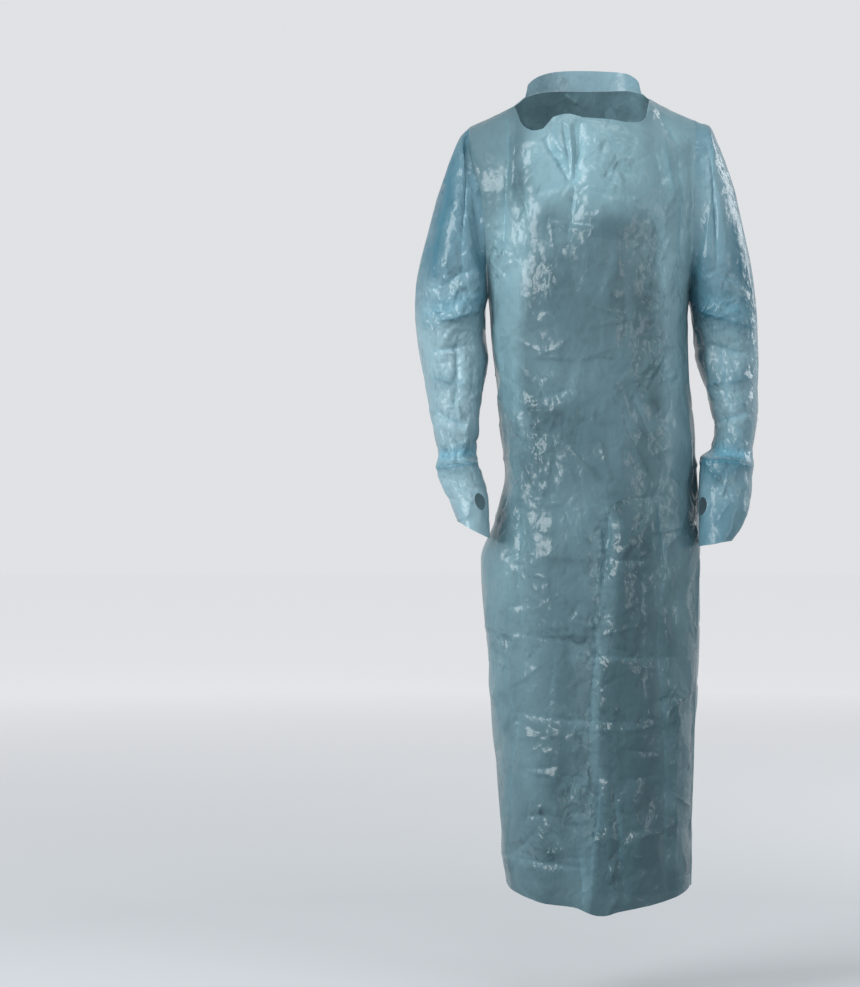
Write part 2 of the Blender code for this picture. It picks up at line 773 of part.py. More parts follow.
def sleeve_ring(row, side):
    """One ring of a sleeve between its outer and inner end."""
    middle = Vector((row.outer_x + row.inner_x, 0, row.outer_z + row.inner_z)) / 2
    half = Vector((row.outer_x - row.inner_x, 0, row.outer_z - row.inner_z)) / 2
    ring = []
    for k in range(SLEEVE_SIDES):
        angle = 2 * math.pi * k / SLEEVE_SIDES
        out = math.copysign(abs(math.cos(angle)) ** (2 / SLEEVE_SQUARENESS), math.cos(angle))
        forward = math.copysign(abs(math.sin(angle)) ** (2 / SLEEVE_SQUARENESS), math.sin(angle))
        point = middle + half * out
        point.y = (row.front + row.back) / 2 + (row.front - row.back) / 2 * forward
        ring.append(Vector((side * point.x, point.y, point.z)))
    return ring


def make_sleeve(name, side, rows, hole):
    """One sleeve, from the armhole to the slanted cuff, with its thumb hole."""
    grid = with_sleeve_folds([armhole_ring(side)] + [sleeve_ring(row, side) for row in rows])
    ring, corner = hole
    middle = grid[ring][corner]
    for r in (ring - 1, ring + 1):
        for c in (corner - 1, corner, corner + 1):
            pull = THUMB_ENDS if c == corner else THUMB_CORNERS
            grid[r][c] = middle + (grid[r][c] - middle) * pull
    missing = {(r, c) for r in (ring - 1, ring) for c in (corner - 1, corner)}
    if side > 0:
        grid = [row[::-1] for row in grid]
        missing = {(r, SLEEVE_SIDES - 2 - c) for r, c in missing}
    return film_wall(name, grid, closed=True, missing=missing)


def on_back(x, z, lift):
    """A point that stands out from the back by a distance."""
    return Vector((x, depth_at(x, z, 1) + lift, z))


def make_broad_tail(name, rows):
    """A broad tie end between its two edges, in one wave across where it is wide."""
    grid = []
    for row in rows:
        wave = TAIL_WAVE * min(1.0, (row.left - row.right) / TAIL_WAVE_WIDTH)
        line = []
        for k in range(TAIL_COLUMNS + 1):
            share = k / TAIL_COLUMNS
            point = on_back(row.left + (row.right - row.left) * share, row.z, row.lift)
            point.y += wave * math.cos(2 * math.pi * share)
            line.append(point)
        grid.append(line)
    return film_wall(name, grid, DOUBLED_BLUE)


def make_strip_tail(name, rows):
    """A doubled tie end along its own middle line, rounded up across its width."""
    grid = []
    for i, row in enumerate(rows):
        ahead = rows[min(i + 1, len(rows) - 1)]
        behind = rows[max(i - 1, 0)]
        across = Vector((ahead.z - behind.z, 0, behind.x - ahead.x)).normalized()
        line = []
        for k in range(STRIP_COLUMNS + 1):
            share = 2 * k / STRIP_COLUMNS - 1
            point = on_back(row.x, row.z, row.lift) + across * (share * row.width / 2)
            point.y += STRIP_BULGE * (1 - share * share) * row.width / STRIP_FULL_WIDTH
            line.append(point)
        grid.append(line)
    return film_wall(name, grid, DOUBLED_BLUE)


def make_knot():
    """The knot: an upright lump, drawn in by the groove where one tie passes over the other."""
    middle = on_back(KNOT_X, KNOT_Z, KNOT_LIFT + KNOT_HALF_DEPTH)
    build = bmesh.new()
    bmesh.ops.create_uvsphere(build, u_segments=KNOT_TURNS, v_segments=KNOT_LEVELS, radius=1.0)
    for vert in build.verts:
        off_groove = (vert.co.z + KNOT_GROOVE_SLANT * vert.co.x) / KNOT_GROOVE_REACH
        squeeze = 1 - KNOT_GROOVE * math.exp(-off_groove * off_groove)
        place = Vector((
            vert.co.x * KNOT_HALF_WIDTH * squeeze,
            vert.co.y * KNOT_HALF_DEPTH * squeeze,
            vert.co.z * KNOT_HALF_HEIGHT,
        ))
        vert.co = (middle + place) * MM
    bmesh.ops.triangulate(build, faces=build.faces)
    return add_piece("tie_knot", build, DOUBLED_BLUE)


def make_gown():
    for old in list(bpy.data.objects):
        bpy.data.objects.remove(old)
    make_front_panel()
    make_back_half("back_half_left", 1, LEFT_EDGE, LEFT_HALF_FOLDS)
    make_back_half("back_half_right", -1, RIGHT_EDGE, RIGHT_HALF_FOLDS)
    make_back_yoke()
    make_neck_band()
    make_sleeve("sleeve_right", -1, RIGHT_SLEEVE, THUMB_HOLES["right"])
    make_sleeve("sleeve_left", 1, LEFT_SLEEVE, THUMB_HOLES["left"])
    make_knot()
    make_strip_tail("tie_tail_upper", TAIL_UPPER)
    make_strip_tail("tie_tail_lower", TAIL_LOWER)
    make_broad_tail("tie_tail_left", TAIL_LEFT)
    make_broad_tail("tie_tail_right", TAIL_RIGHT)


make_gown()
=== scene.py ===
# %% [markdown]
# # An isolation gown of thin film, worn and hollow
#
# This notebook dresses a finished CAD model of an isolation gown. The real one is cut from blue
# polyethylene film about 0.04 mm thick, heat-sealed at the seams, put on over the head, and tied
# behind with its own back panels. The CAD solids give the worn form. Here each of them is replaced
# by a fine, thin sheet of film with the creases, crinkles, tucks and seams of the real thing.
#
# The first cell loads the CAD model as a fixed frame. Nothing in it is moved or reshaped.

# %% Load the imported model
import math
from collections import namedtuple

import bmesh
import bpy
import numpy as np
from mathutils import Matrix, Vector


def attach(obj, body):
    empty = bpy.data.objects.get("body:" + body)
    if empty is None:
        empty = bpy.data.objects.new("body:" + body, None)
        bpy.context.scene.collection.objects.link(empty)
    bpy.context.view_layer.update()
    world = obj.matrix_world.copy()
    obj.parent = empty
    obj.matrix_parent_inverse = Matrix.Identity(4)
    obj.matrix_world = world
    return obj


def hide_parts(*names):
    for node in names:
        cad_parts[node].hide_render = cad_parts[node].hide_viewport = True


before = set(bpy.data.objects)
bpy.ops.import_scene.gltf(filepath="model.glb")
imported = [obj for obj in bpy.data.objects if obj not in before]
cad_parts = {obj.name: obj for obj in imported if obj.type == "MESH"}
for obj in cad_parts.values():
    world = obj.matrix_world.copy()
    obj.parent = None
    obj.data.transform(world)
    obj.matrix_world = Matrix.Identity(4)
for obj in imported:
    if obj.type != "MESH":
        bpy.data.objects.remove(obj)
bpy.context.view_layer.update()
bpy.ops.object.select_all(action="DESELECT")
print("nodes:", ", ".join(sorted(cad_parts)))

# %% [markdown]
# ## The camera, first
#
# The photograph was taken from straight in front with a long lens, which keeps the sides of a tall
# garment parallel. A camera 4.5 m away whose frame is 1.48 m high at the gown gives the same
# picture. The sensor is fitted to the height, so the picture's width doesn't change the framing.

# %% The camera
MM = 0.001
PICTURE_WIDTH = 860
PICTURE_HEIGHT = 987
MM_PER_PIXEL = 1.5
NECK_PIXEL = (588, 92)
CAMERA_DISTANCE = 4500
SENSOR_HEIGHT = 36


def make_camera():
    data = bpy.data.cameras.new("camera")
    data.sensor_fit = "VERTICAL"
    data.sensor_height = SENSOR_HEIGHT
    data.lens = SENSOR_HEIGHT * CAMERA_DISTANCE / (PICTURE_HEIGHT * MM_PER_PIXEL)
    camera = bpy.data.objects.new("camera", data)
    bpy.context.collection.objects.link(camera)
    across = (PICTURE_WIDTH / 2 - NECK_PIXEL[0]) * MM_PER_PIXEL
    down = (NECK_PIXEL[1] - PICTURE_HEIGHT / 2) * MM_PER_PIXEL
    camera.location = Vector((across, -CAMERA_DISTANCE, down)) * MM
    camera.rotation_euler = (math.radians(90), 0, 0)
    bpy.context.scene.camera = camera
    return camera


camera = make_camera()
print("lens", round(camera.data.lens, 1), "mm at", tuple(round(v, 3) for v in camera.location))

# %% [markdown]
# ## A smooth curve through a short table
#
# The whole gown is worked out from short tables of sizes in millimetres: rings of the body, edges
# of each panel, rings of the sleeves. `lookup` reads a column of such a table anywhere between its
# rows. The curve never swings past its rows, so a straight stretch stays straight. It takes whole
# arrays at once, because a sheet has tens of thousands of points.

# %% Reading the tables


def smooth_curve(keys, values, at):
    """Values on a smooth curve through rows at rising keys. Values may be numbers or points."""
    keys = np.asarray(keys, float)
    values = np.asarray(values, float)
    at = np.clip(np.asarray(at, float), keys[0], keys[-1])
    wide = (len(keys) - 1,) + (1,) * (values.ndim - 1)
    slope = np.diff(values, axis=0) / np.diff(keys).reshape(wide)
    both = slope[:-1] * slope[1:]
    total = np.where(both > 0, slope[:-1] + slope[1:], 1.0)
    inner = np.where(both > 0, 2 * both / total, 0.0)
    bend = np.concatenate([slope[:1], inner, slope[-1:]])
    i = np.clip(np.searchsorted(keys, at, side="right") - 1, 0, len(keys) - 2)
    span = keys[i + 1] - keys[i]
    t = (at - keys[i]) / span
    shape = at.shape + (1,) * (values.ndim - 1)
    t, span = t.reshape(shape), span.reshape(shape)
    return (
        values[i] * (1 + 2 * t) * (1 - t) ** 2
        + bend[i] * span * t * (1 - t) ** 2
        + values[i + 1] * t * t * (3 - 2 * t)
        + bend[i + 1] * span * t * t * (t - 1)
    )


def table(kind, *rows):
    """A table with named columns, made from plain rows of numbers."""
    return [kind(*row) for row in rows]


def lookup(rows, key, column, at):
    keys = [getattr(row, key) for row in rows]
    values = [getattr(row, column) for row in rows]
    if keys[0] > keys[-1]:
        keys.reverse()
        values.reverse()
    return smooth_curve(keys, values, at)


# %% [markdown]
# ## The form of the torso
#
# These are the CAD model's own driving sizes: squarish ovals round the body below the underarm, and
# above it a chest and a back that round over to the shoulder line. Repeating the few sizes that
# shape the solid lets the sheet be far finer than the solid and still lie exactly on it.

# %% Sizes of the torso
SEAM_GAP = 0.1
ARMHOLE_GAP = 0.12
UNDERARM_GAP = 0.15
UNDERARM_Z = -306
HEM_Z = -1200
HEM_RISE_FROM = -1040
HIPS_Z = -750.0
BODY_SQUARENESS = 2.3
SLEEVE_SQUARENESS = 2.2
SHOULDER_ROUND = 130
SHOULDER_LINE_Y = 7
BAND_STATIONS = (-0.5, 0.43)
BAND_HEIGHT = 31
BAND_LEAN = 3
BAND_GAP = 0.1
BAND_END = 0.35
LAP_SPREAD = 3.2
LAP_FROM_TURN = 150
LAP_TO_TURN = 180
NECK_POINTS = (-0.58, 0.49)
BACK_HALF_WIDTH = {"left": 240, "right": 180}

# Sections of the torso: the wearer's right and left side and the front and back of each ring.
# Above the underarm the sides are those of the whole chest and shoulder, which the armholes cut.
Section = namedtuple("Section", "z right left front back")
TORSO = table(
    Section,
    (40, -200, 200, 84, 80), (-50, -200, 198, 94, 92), (-100, -196, 192, 106, 104),
    (-157, -186, 182, 118, 111), (-216, -172, 170, 127, 112), (-267, -160, 159, 131, 108),
    (-290, -154, 154, 131, 105), (-306, -150, 150, 131, 103), (-340, -147, 148, 128, 99),
    (-372, -146, 149, 126, 96), (-432, -142, 152, 122, 93), (-504, -136, 158, 120, 98),
    (-567, -131, 160, 122, 109), (-640, -143, 165, 126, 121), (-702, -160, 169, 130, 129),
    (-772, -158, 167, 131, 130), (-861, -150, 164, 129, 127), (-931, -145, 162, 128, 124),
    (-1038, -139, 159, 126, 118), (-1101, -133, 156, 124, 113), (-1162, -128, 154, 122, 108),
    (-1230, -120, 152, 120, 104),
)

# How far round from the centre front the side seams sit, in degrees, on each side
Seam = namedtuple("Seam", "z right left")
SIDE_SEAMS = table(
    Seam,
    (-306, 90, 90), (-340, 94, 86), (-430, 106, 78), (-560, 112, 75), (-1230, 114, 74),
)

# Armholes: how far from the middle each one cuts the torso, from the shoulder tip to the underarm
Armhole = namedtuple("Armhole", "z right left")
ARMHOLES = table(
    Armhole,
    (40, 178, 160), (-42, 177, 160), (-81, 180, 157), (-124, 172, 155), (-157, 163, 154),
    (-216, 156, 153), (-267, 153, 151), (-306, 150, 150),
)

# The shoulder line over the body: how high the front and the back rise to it at a distance from the
# middle. Inside the neck opening it is only the height that the surface round the neck aims for.
Ridge = namedtuple("Ridge", "x front back")
SHOULDER_LINE = table(
    Ridge,
    (-200, -66, -66), (-177, -52, -52), (-150, -40, -40), (-124, -28, -28), (-100, -14, -14),
    (-88, -7, 2), (-72, 2, 22), (-50, 11, 40), (-25, 18, 50), (0, 20, 53), (25, 18, 50),
    (45, 12, 43), (62, 5, 30), (76, -1, 9), (84, -5, -5), (108, -19, -19), (136, -32, -32),
    (160, -42, -42), (200, -60, -60),
)

# Top edges of the front and the yoke, from one shoulder tip to the other. across is the share of the
# panel's width, from -1 at the wearer's right to 1 at the left. Both have the same shoulder seams.
TopPoint = namedtuple("TopPoint", "across x z")
RIGHT_SHOULDER = table(
    TopPoint, (-1.00, -177, -52), (-0.85, -154, -42), (-0.70, -131, -31), (-0.58, -111, -20)
)
LEFT_SHOULDER = table(TopPoint, (0.49, 92, -10), (0.65, 113, -21), (0.82, 138, -33), (1.00, 160, -42))
NECKLINE = table(
    TopPoint,
    (-0.565, -110, -24), (-0.55, -109, -29), (-0.525, -107, -37), (-0.48, -103, -51),
    (-0.43, -95, -62), (-0.38, -84, -67), (-0.33, -72, -65), (-0.29, -63, -56), (-0.25, -54, -46),
    (-0.16, -34, -42), (-0.05, -10, -48), (0.12, 28, -51), (0.26, 58, -55), (0.33, 73, -53),
    (0.39, 82, -45), (0.435, 86, -30), (0.455, 89, -19), (0.475, 91, -13),
)
NECK_SEAM = table(
    TopPoint,
    (-0.48, -90, -4), (-0.38, -72, 4), (-0.26, -50, 8), (-0.13, -25, 9), (0.00, 0, 9), (0.13, 25, 9),
    (0.23, 45, 9), (0.33, 62, 8), (0.41, 77, 2),
)
FRONT_TOP = RIGHT_SHOULDER + NECKLINE + LEFT_SHOULDER
BACK_TOP = RIGHT_SHOULDER + NECK_SEAM + LEFT_SHOULDER

# Height of the hem round the body, by degrees from the centre front, wearer's right negative
Hem = namedtuple("Hem", "turn rise")
HEM = table(
    Hem,
    (-180, 11), (-150, 4), (-120, 12), (-95, 14), (-70, 8), (-38, -3), (-15, -7), (-1, -19),
    (8, -13), (25, -7), (50, 3), (75, 14), (95, 14), (120, -6), (150, -17), (190, -17),
)
print(len(TORSO), "rings,", len(FRONT_TOP), "points on the neckline and shoulders")

# %% [markdown]
# ## Points on the form
#
# Each function below turns a place on a panel into a point in space: `body_points` for the rings
# below the underarm, `shoulder_points` for the chest and the yoke above it. A sheet is then just a
# grid of such places, as fine as its creases need.

# %% Points on the torso


def stacked(x, y, z):
    return np.stack(np.broadcast_arrays(x, y, z), axis=-1).astype(float)


def torso(column, z):
    return lookup(TORSO, "z", column, z)


def torso_middle(z):
    return (torso("left", z) + torso("right", z)) / 2


def torso_half_width(z):
    return (torso("left", z) - torso("right", z)) / 2


def rounded(share, squareness=BODY_SQUARENESS):
    """Turn a sine or cosine into its share on a squarish oval."""
    return np.copysign(np.abs(share) ** (2 / squareness), share)


def body_points(z, turn):
    """Points of the body's rings at heights, turn degrees from the centre front towards +X."""
    angle = np.radians(turn)
    forward = np.cos(angle)
    depth = np.where(forward > 0, torso("front", z), torso("back", z))
    x = torso_middle(z) + torso_half_width(z) * rounded(np.sin(angle))
    return stacked(x, -depth * rounded(forward), z)


def depth_at(x, z, facing):
    """Distance of the chest (facing -1) or the back (facing 1) from the middle plane."""
    share = np.minimum(1.0, np.abs(x - torso_middle(z)) / torso_half_width(z))
    depth = torso("front", z) if facing < 0 else torso("back", z)
    return facing * depth * (1 - share**BODY_SQUARENESS) ** (1 / BODY_SQUARENESS)


def armhole_x(side, z):
    """Where the armhole of a side, -1 the wearer's right or 1 the left, cuts the torso."""
    right = lookup(ARMHOLES, "z", "right", z)
    left = lookup(ARMHOLES, "z", "left", z)
    return np.where(side < 0, -right, left)


def shoulder_line(x, facing):
    return lookup(SHOULDER_LINE, "x", "front" if facing < 0 else "back", x)


def roofed(x, z, facing):
    """Points of the chest or the upper back, which rounds over to the shoulder line."""
    drop = np.clip((shoulder_line(x, facing) - z) / SHOULDER_ROUND, 0, 1)
    roof = np.sqrt(1 - (1 - drop) ** 2)
    y = SHOULDER_LINE_Y + (depth_at(x, z, facing) - SHOULDER_LINE_Y) * roof
    return stacked(x, y, z)


def shoulder_points(top_edge, across, share, facing, low_z=UNDERARM_Z):
    """Points of the chest or the yoke: share 0 at the height low_z, 1 on the top edge."""
    across = np.asarray(across, float)
    top_x = lookup(top_edge, "across", "x", across)
    top_z = lookup(top_edge, "across", "z", across)
    on_seam = (across <= NECK_POINTS[0]) | (across >= NECK_POINTS[1])
    top_z = np.where(on_seam, shoulder_line(top_x, facing), top_z)
    side = np.where(across < 0, -1, 1)
    z = low_z + (top_z - low_z) * share
    rise = (z - UNDERARM_Z) / (top_z - UNDERARM_Z)
    low_spread = rounded(np.sin(np.radians(90 * np.abs(across))))
    top_spread = np.minimum(1.0, top_x / armhole_x(side, top_z))
    x = armhole_x(side, z) * (low_spread + (top_spread - low_spread) * rise)
    return roofed(x, z, facing)


def hem_drop(points, turn):
    """Let the rows near the hem follow its uneven height."""
    share = np.clip((HEM_RISE_FROM - points[..., 2]) / (HEM_RISE_FROM - HEM_Z), 0, 1)
    points[..., 2] += lookup(HEM, "turn", "rise", turn) * share
    return points


def normals_of(grid, closed=False):
    """Outward normals of a grid of points, for rows that go down and columns round the piece."""
    along = np.gradient(grid, axis=0)
    if closed:
        across = np.roll(grid, -1, axis=1) - np.roll(grid, 1, axis=1)
    else:
        across = np.gradient(grid, axis=1)
    normal = np.cross(across, along)
    return normal / np.maximum(np.linalg.norm(normal, axis=-1, keepdims=True), 1e-9)


# %% [markdown]
# ## What makes film look like film
#
# Thin polyethylene doesn't drape in round folds like cloth. It creases: flat facets meet in sharp
# lines, in clusters where the film was packed, gripped or bent, and lie almost smooth in between.
# A cloth simulation gives round folds at this size, so the creases are worked out instead.
#
# - `facets` gives flat random facets: a lattice of corners with random heights, joined by straight
#   slopes. It is taken in space, so it has no seam on a tube.
# - `billow` is the same lattice with soft slopes, for gentle waves and for bending straight lines.
# - A `Crease` is one ridge or trough, from one point to another as the front or the back shows
#   it. `sharp` 1 gives a knife edge, 2 a soft roll, and `blue` doubles the film there.

# %% Facets, waves and creases
Crease = namedtuple("Crease", "x0 z0 x1 z1 reach height sharp blue")
Patch = namedtuple("Patch", "x z wide tall strength")
SHARP = 1
SOFT = 2
LONG_CREASE_REACH = 3.5


def lattice_value(corner, seed):
    """A random number from -1 to 1 for each whole-number place, the same on every run."""
    cell = corner.astype(np.int64)
    mixed = (cell[..., 0] * 73856093) ^ (cell[..., 1] * 19349663) ^ (cell[..., 2] * 83492791)
    mixed = (mixed ^ (seed * 40503)) & 0x7FFFFFFF
    mixed = ((mixed ^ (mixed >> 13)) * 1274126177) & 0x7FFFFFFF
    mixed = ((mixed ^ (mixed >> 16)) * 668265263) & 0x7FFFFFFF
    return ((mixed >> 8) & 0xFFFF) / 32767.5 - 1


def turned_lattice(points, size, seed, stretch):
    """Places in a lattice of a cell size, turned by the seed so that no two lattices line up."""
    around = 0.7 + 1.3 * seed
    lean = 0.5 + 0.9 * seed
    c, s = math.cos(around), math.sin(around)
    spin = np.array([[c, -s, 0], [s, c, 0], [0, 0, 1]])
    c, s = math.cos(lean), math.sin(lean)
    tip = np.array([[1, 0, 0], [0, c, -s], [0, s, c]])
    return (points / np.array(stretch)) @ (spin @ tip).T / size + 17.3 * seed


def facets(points, size, seed, stretch=(1, 1, 1)):
    place = turned_lattice(points, size, seed, stretch)
    corner = np.floor(place)
    part = place - corner
    order = np.argsort(-part, axis=-1)
    ranked = np.take_along_axis(part, order, axis=-1)
    value = (1 - ranked[..., 0]) * lattice_value(corner, seed)
    below = np.concatenate([ranked[..., 1:], np.zeros_like(ranked[..., :1])], axis=-1)
    for k in range(3):
        axis = order[..., k : k + 1]
        np.put_along_axis(corner, axis, np.take_along_axis(corner, axis, -1) + 1, -1)
        value += (ranked[..., k] - below[..., k]) * lattice_value(corner, seed)
    return value


def billow(points, size, seed, stretch=(1, 1, 1)):
    place = turned_lattice(points, size, seed, stretch)
    corner = np.floor(place)
    part = place - corner
    soft = part * part * (3 - 2 * part)
    value = 0.0
    for dx in (0, 1):
        for dy in (0, 1):
            for dz in (0, 1):
                share = np.where(np.array([dx, dy, dz]) == 1, soft, 1 - soft).prod(axis=-1)
                value = value + share * lattice_value(corner + np.array([dx, dy, dz]), seed)
    return value


def warped(points, size, seed):
    """Points pushed about by up to half a cell, so that a lattice of that size loses its order."""
    push = np.stack([billow(points, size * 1.4, seed + k) for k in (1, 2, 3)], axis=-1)
    return points + push * size * 0.55


def crease_field(points, creases, seed):
    """Height and doubling that a list of creases gives at points, read as x and z."""
    x, z = points[..., 0].ravel(), points[..., 2].ravel()
    wander = billow(points, 70, seed).ravel()
    fine_wander = billow(points, 20, seed + 5).ravel()
    height = np.zeros(x.size)
    blue = np.zeros(x.size)
    line = np.zeros(x.size)
    for crease in creases:
        run_x, run_z = crease.x1 - crease.x0, crease.z1 - crease.z0
        length = math.hypot(run_x, run_z)
        skirt = crease.reach * (3.2 if crease.reach >= LONG_CREASE_REACH else 1.6)
        margin = skirt * 3 + length * 0.06
        near = (
            (x > min(crease.x0, crease.x1) - margin)
            & (x < max(crease.x0, crease.x1) + margin)
            & (z > min(crease.z0, crease.z1) - margin)
            & (z < max(crease.z0, crease.z1) + margin)
        )
        if not near.any():
            continue
        dx, dz = x[near] - crease.x0, z[near] - crease.z0
        along = (dx * run_x + dz * run_z) / length**2
        aside = (dx * run_z - dz * run_x) / length
        aside = aside + wander[near] * min(7, length * 0.05)
        aside = aside + fine_wander[near] * min(1.6, length * 0.02)
        taper = np.sqrt(np.clip(np.sin(np.pi * np.clip(along, 0, 1)), 0, 1))
        taper *= 0.8 + 0.35 * wander[near]
        profile = np.exp(-np.abs(aside / crease.reach) ** crease.sharp)
        slopes = np.exp(-np.abs(aside / skirt) ** crease.sharp)
        slope_share = 0.9 if crease.sharp == SHARP else 0.5
        height[near] += crease.height * taper * (0.5 * profile + slope_share * slopes)
        doubling = crease.blue * (0.55 if crease.sharp == SHARP else 1.0)
        doubling = doubling * np.clip(taper * 1.4, 0, 1) * profile ** (3 - crease.sharp)
        blue[near] = np.maximum(blue[near], doubling)
        if crease.sharp == SHARP:
            seen = np.clip(abs(crease.height) / 2.6, 0, 1) * taper * profile
            line[near] = np.maximum(line[near], seen)
    return tuple(part.reshape(points.shape[:-1]) for part in (height, blue, line))


def patch_field(points, patches):
    """How crinkled the film is at points, from 0 to 1 or a little more."""
    total = np.zeros(points.shape[:-1])
    for patch in patches:
        off_x = (points[..., 0] - patch.x) / patch.wide
        off_z = (points[..., 2] - patch.z) / patch.tall
        total += patch.strength * np.exp(-(off_x**2 + off_z**2))
    return total


def crinkles(patches, per_patch, seed, lengths=(12, 46), slant=0.0):
    """Small sharp creases strewn over the patches, the same on every run."""
    dice = np.random.default_rng(seed)
    found = []
    for patch in patches:
        for _ in range(max(1, round(per_patch * patch.strength))):
            x = patch.x + dice.normal() * patch.wide * 0.6
            z = patch.z + dice.normal() * patch.tall * 0.6
            angle = slant + dice.normal() * 0.9 + (math.pi / 2 if dice.random() < 0.62 else 0)
            half = dice.uniform(*lengths) / 2
            dx, dz = math.cos(angle) * half, math.sin(angle) * half
            height = dice.uniform(0.8, 2.3) * dice.choice((-1, 1))
            found.append(Crease(x - dx, z - dz, x + dx, z + dz, dice.uniform(1.8, 3.6), height, 1, 0))
    return found


def strewn(x, z, wide, tall, count, seed):
    """Light creases of many lengths, strewn over a whole panel."""
    found = crinkles([Patch(x, z, wide, tall, 1.0)], count, seed, lengths=(16, 84))
    return [crease._replace(height=crease.height * 0.75, reach=crease.reach * 0.9) for crease in found]


def crumple(points, amount, seed, stretch=(1, 1, 1.5)):
    """Random facets in three sizes, with their own loud and quiet places."""
    loud = np.clip(0.55 + 0.75 * billow(points, 130, seed + 40), 0.05, 1.4)
    coarse = facets(warped(points, 58, seed), 58, seed + 1, stretch) * 4.6
    middle = facets(warped(points, 27, seed + 2), 27, seed + 3, stretch) * 2.4
    fine = facets(warped(points, 12, seed + 4), 12, seed + 5, stretch) * 0.9
    return coarse * (0.5 + 0.5 * loud) + middle * loud * (0.5 + amount) + fine * loud**2 * (0.3 + amount)


# %% [markdown]
# ## From a grid of points to a sheet
#
# A sheet of film is one layer of faces. At 0.04 mm the real film is far thinner than any wall that
# a picture can show, and a single layer lets light through once, as the film does. `make_sheet`
# builds the faces of a grid and stores three numbers at each point for the material to read:
# `doubled`, where the film lies on itself and looks deeper blue, `crinkled`, where fine creases
# scatter the light and whiten the film, partly as painted glint lines, and one of painted light
# where a ridge stands out and painted shade where a trough lies in. It also stores a UV map in
# real lengths.

# %% Building a sheet
# Painted light on a ridge and painted shade in a trough, for each millimetre of its height, and at most
CREASE_SHADE_PER_MM = 0.035
MOST_CREASE_SHADE = 0.28


def make_sheet(name, grid, doubled, crinkled, closed=False, hole=None, rise=0.0):
    rows, columns = grid.shape[:2]
    index = np.arange(rows * columns).reshape(rows, columns)
    if closed:
        index = np.concatenate([index, index[:, :1]], axis=1)
    faces = np.stack([index[:-1, :-1], index[:-1, 1:], index[1:, 1:], index[1:, :-1]], axis=-1)
    faces = faces.reshape(-1, 4)
    flat = grid.reshape(-1, 3)
    if hole is not None:
        gone = hole.ravel()
        faces = faces[~gone[faces].any(axis=1)]
    used = np.unique(faces)
    renumber = np.zeros(len(flat), int)
    renumber[used] = np.arange(len(used))
    mesh = bpy.data.meshes.new(name)
    mesh.vertices.add(len(used))
    mesh.vertices.foreach_set("co", (flat[used] * MM).ravel())
    mesh.loops.add(faces.size)
    mesh.loops.foreach_set("vertex_index", renumber[faces].ravel())
    mesh.polygons.add(len(faces))
    mesh.polygons.foreach_set("loop_start", np.arange(0, faces.size, 4))
    mesh.update(calc_edges=True)
    mesh.validate()
    # painted light on ridges and painted shade in troughs, from the heights given as rise
    crease_shade = np.clip(np.asarray(rise) * CREASE_SHADE_PER_MM, -MOST_CREASE_SHADE, MOST_CREASE_SHADE)
    for label, values in (("doubled", doubled), ("crinkled", crinkled), ("crease_shade", crease_shade)):
        layer = mesh.attributes.new(label, "FLOAT", "POINT")
        layer.data.foreach_set("value", np.broadcast_to(values, (rows, columns)).ravel()[used])
    mesh.polygons.foreach_set("use_smooth", np.ones(len(faces), bool))
    steps_across = np.linalg.norm(np.diff(grid, axis=1, prepend=grid[:, :1]), axis=-1)
    steps_down = np.linalg.norm(np.diff(grid, axis=0, prepend=grid[:1]), axis=-1)
    across = np.cumsum(steps_across.mean(axis=0)) * MM
    down = np.cumsum(steps_down.mean(axis=1)) * MM
    unrolled = np.stack(np.meshgrid(across, -down), axis=-1).reshape(-1, 2)
    mesh.uv_layers.new(name="lengths").data.foreach_set("uv", unrolled[faces].ravel())
    sheet = bpy.data.objects.new(name, mesh)
    bpy.context.collection.objects.link(sheet)
    step = np.linalg.norm(np.diff(grid, axis=1), axis=-1).mean()
    print(name, len(faces) * 2, "triangles,", round(float(step), 2), "mm a column")
    return sheet


def evenly(place_of, low, high, spacing):
    """Shares between low and high whose points lie evenly along a line, a given distance apart."""
    trial = np.linspace(low, high, 800)
    steps = np.linalg.norm(np.diff(place_of(trial), axis=0), axis=-1)
    run = np.concatenate([[0], np.cumsum(steps)])
    count = max(4, round(run[-1] / spacing))
    return np.interp(np.linspace(0, run[-1], count + 1), run, trial)


# %% [markdown]
# ## The front panel
#
# One panel runs from the shoulders to the hem. Its creases are listed where the front view shows
# them: the V-shaped tuck under the neckline with pleats inside it, slanting folds from the
# armholes, tension lines over the chest, and long vertical folds in the skirt, with the level
# creases of a garment that was packed flat. Patches say where small crinkles gather.

# %% Creases of the front panel
# Soft main folds, each a ridge from one point of the torso to another as the front or back shows it
Fold = namedtuple("Fold", "x0 z0 x1 z1 reach height")
FRONT_FOLDS = table(
    Fold,
    (-68, -70, -28, -148, 9, 9), (-14, -52, -26, -148, 9, 9), (-27, -140, -34, -240, 12, 6),
    (-126, -38, -142, -240, 14, 7), (100, -30, 138, -90, 13, 5), (128, -60, 136, -260, 14, 7),
    (-142, -300, -46, -214, 18, 7), (140, -290, 50, -220, 18, 7), (-136, -330, -30, -300, 18, -4),
    (136, -345, 44, -296, 18, -4), (-118, -390, 30, -440, 24, 5), (110, -420, -10, -500, 24, 5),
    (20, -600, -4, -1240, 13, 12), (40, -600, 22, -1240, 12, -7), (-108, -560, -96, -1230, 22, 8),
    (106, -540, 112, -1230, 22, 8), (-56, -640, -58, -1230, 20, -6), (64, -620, 62, -1230, 20, -6),
)
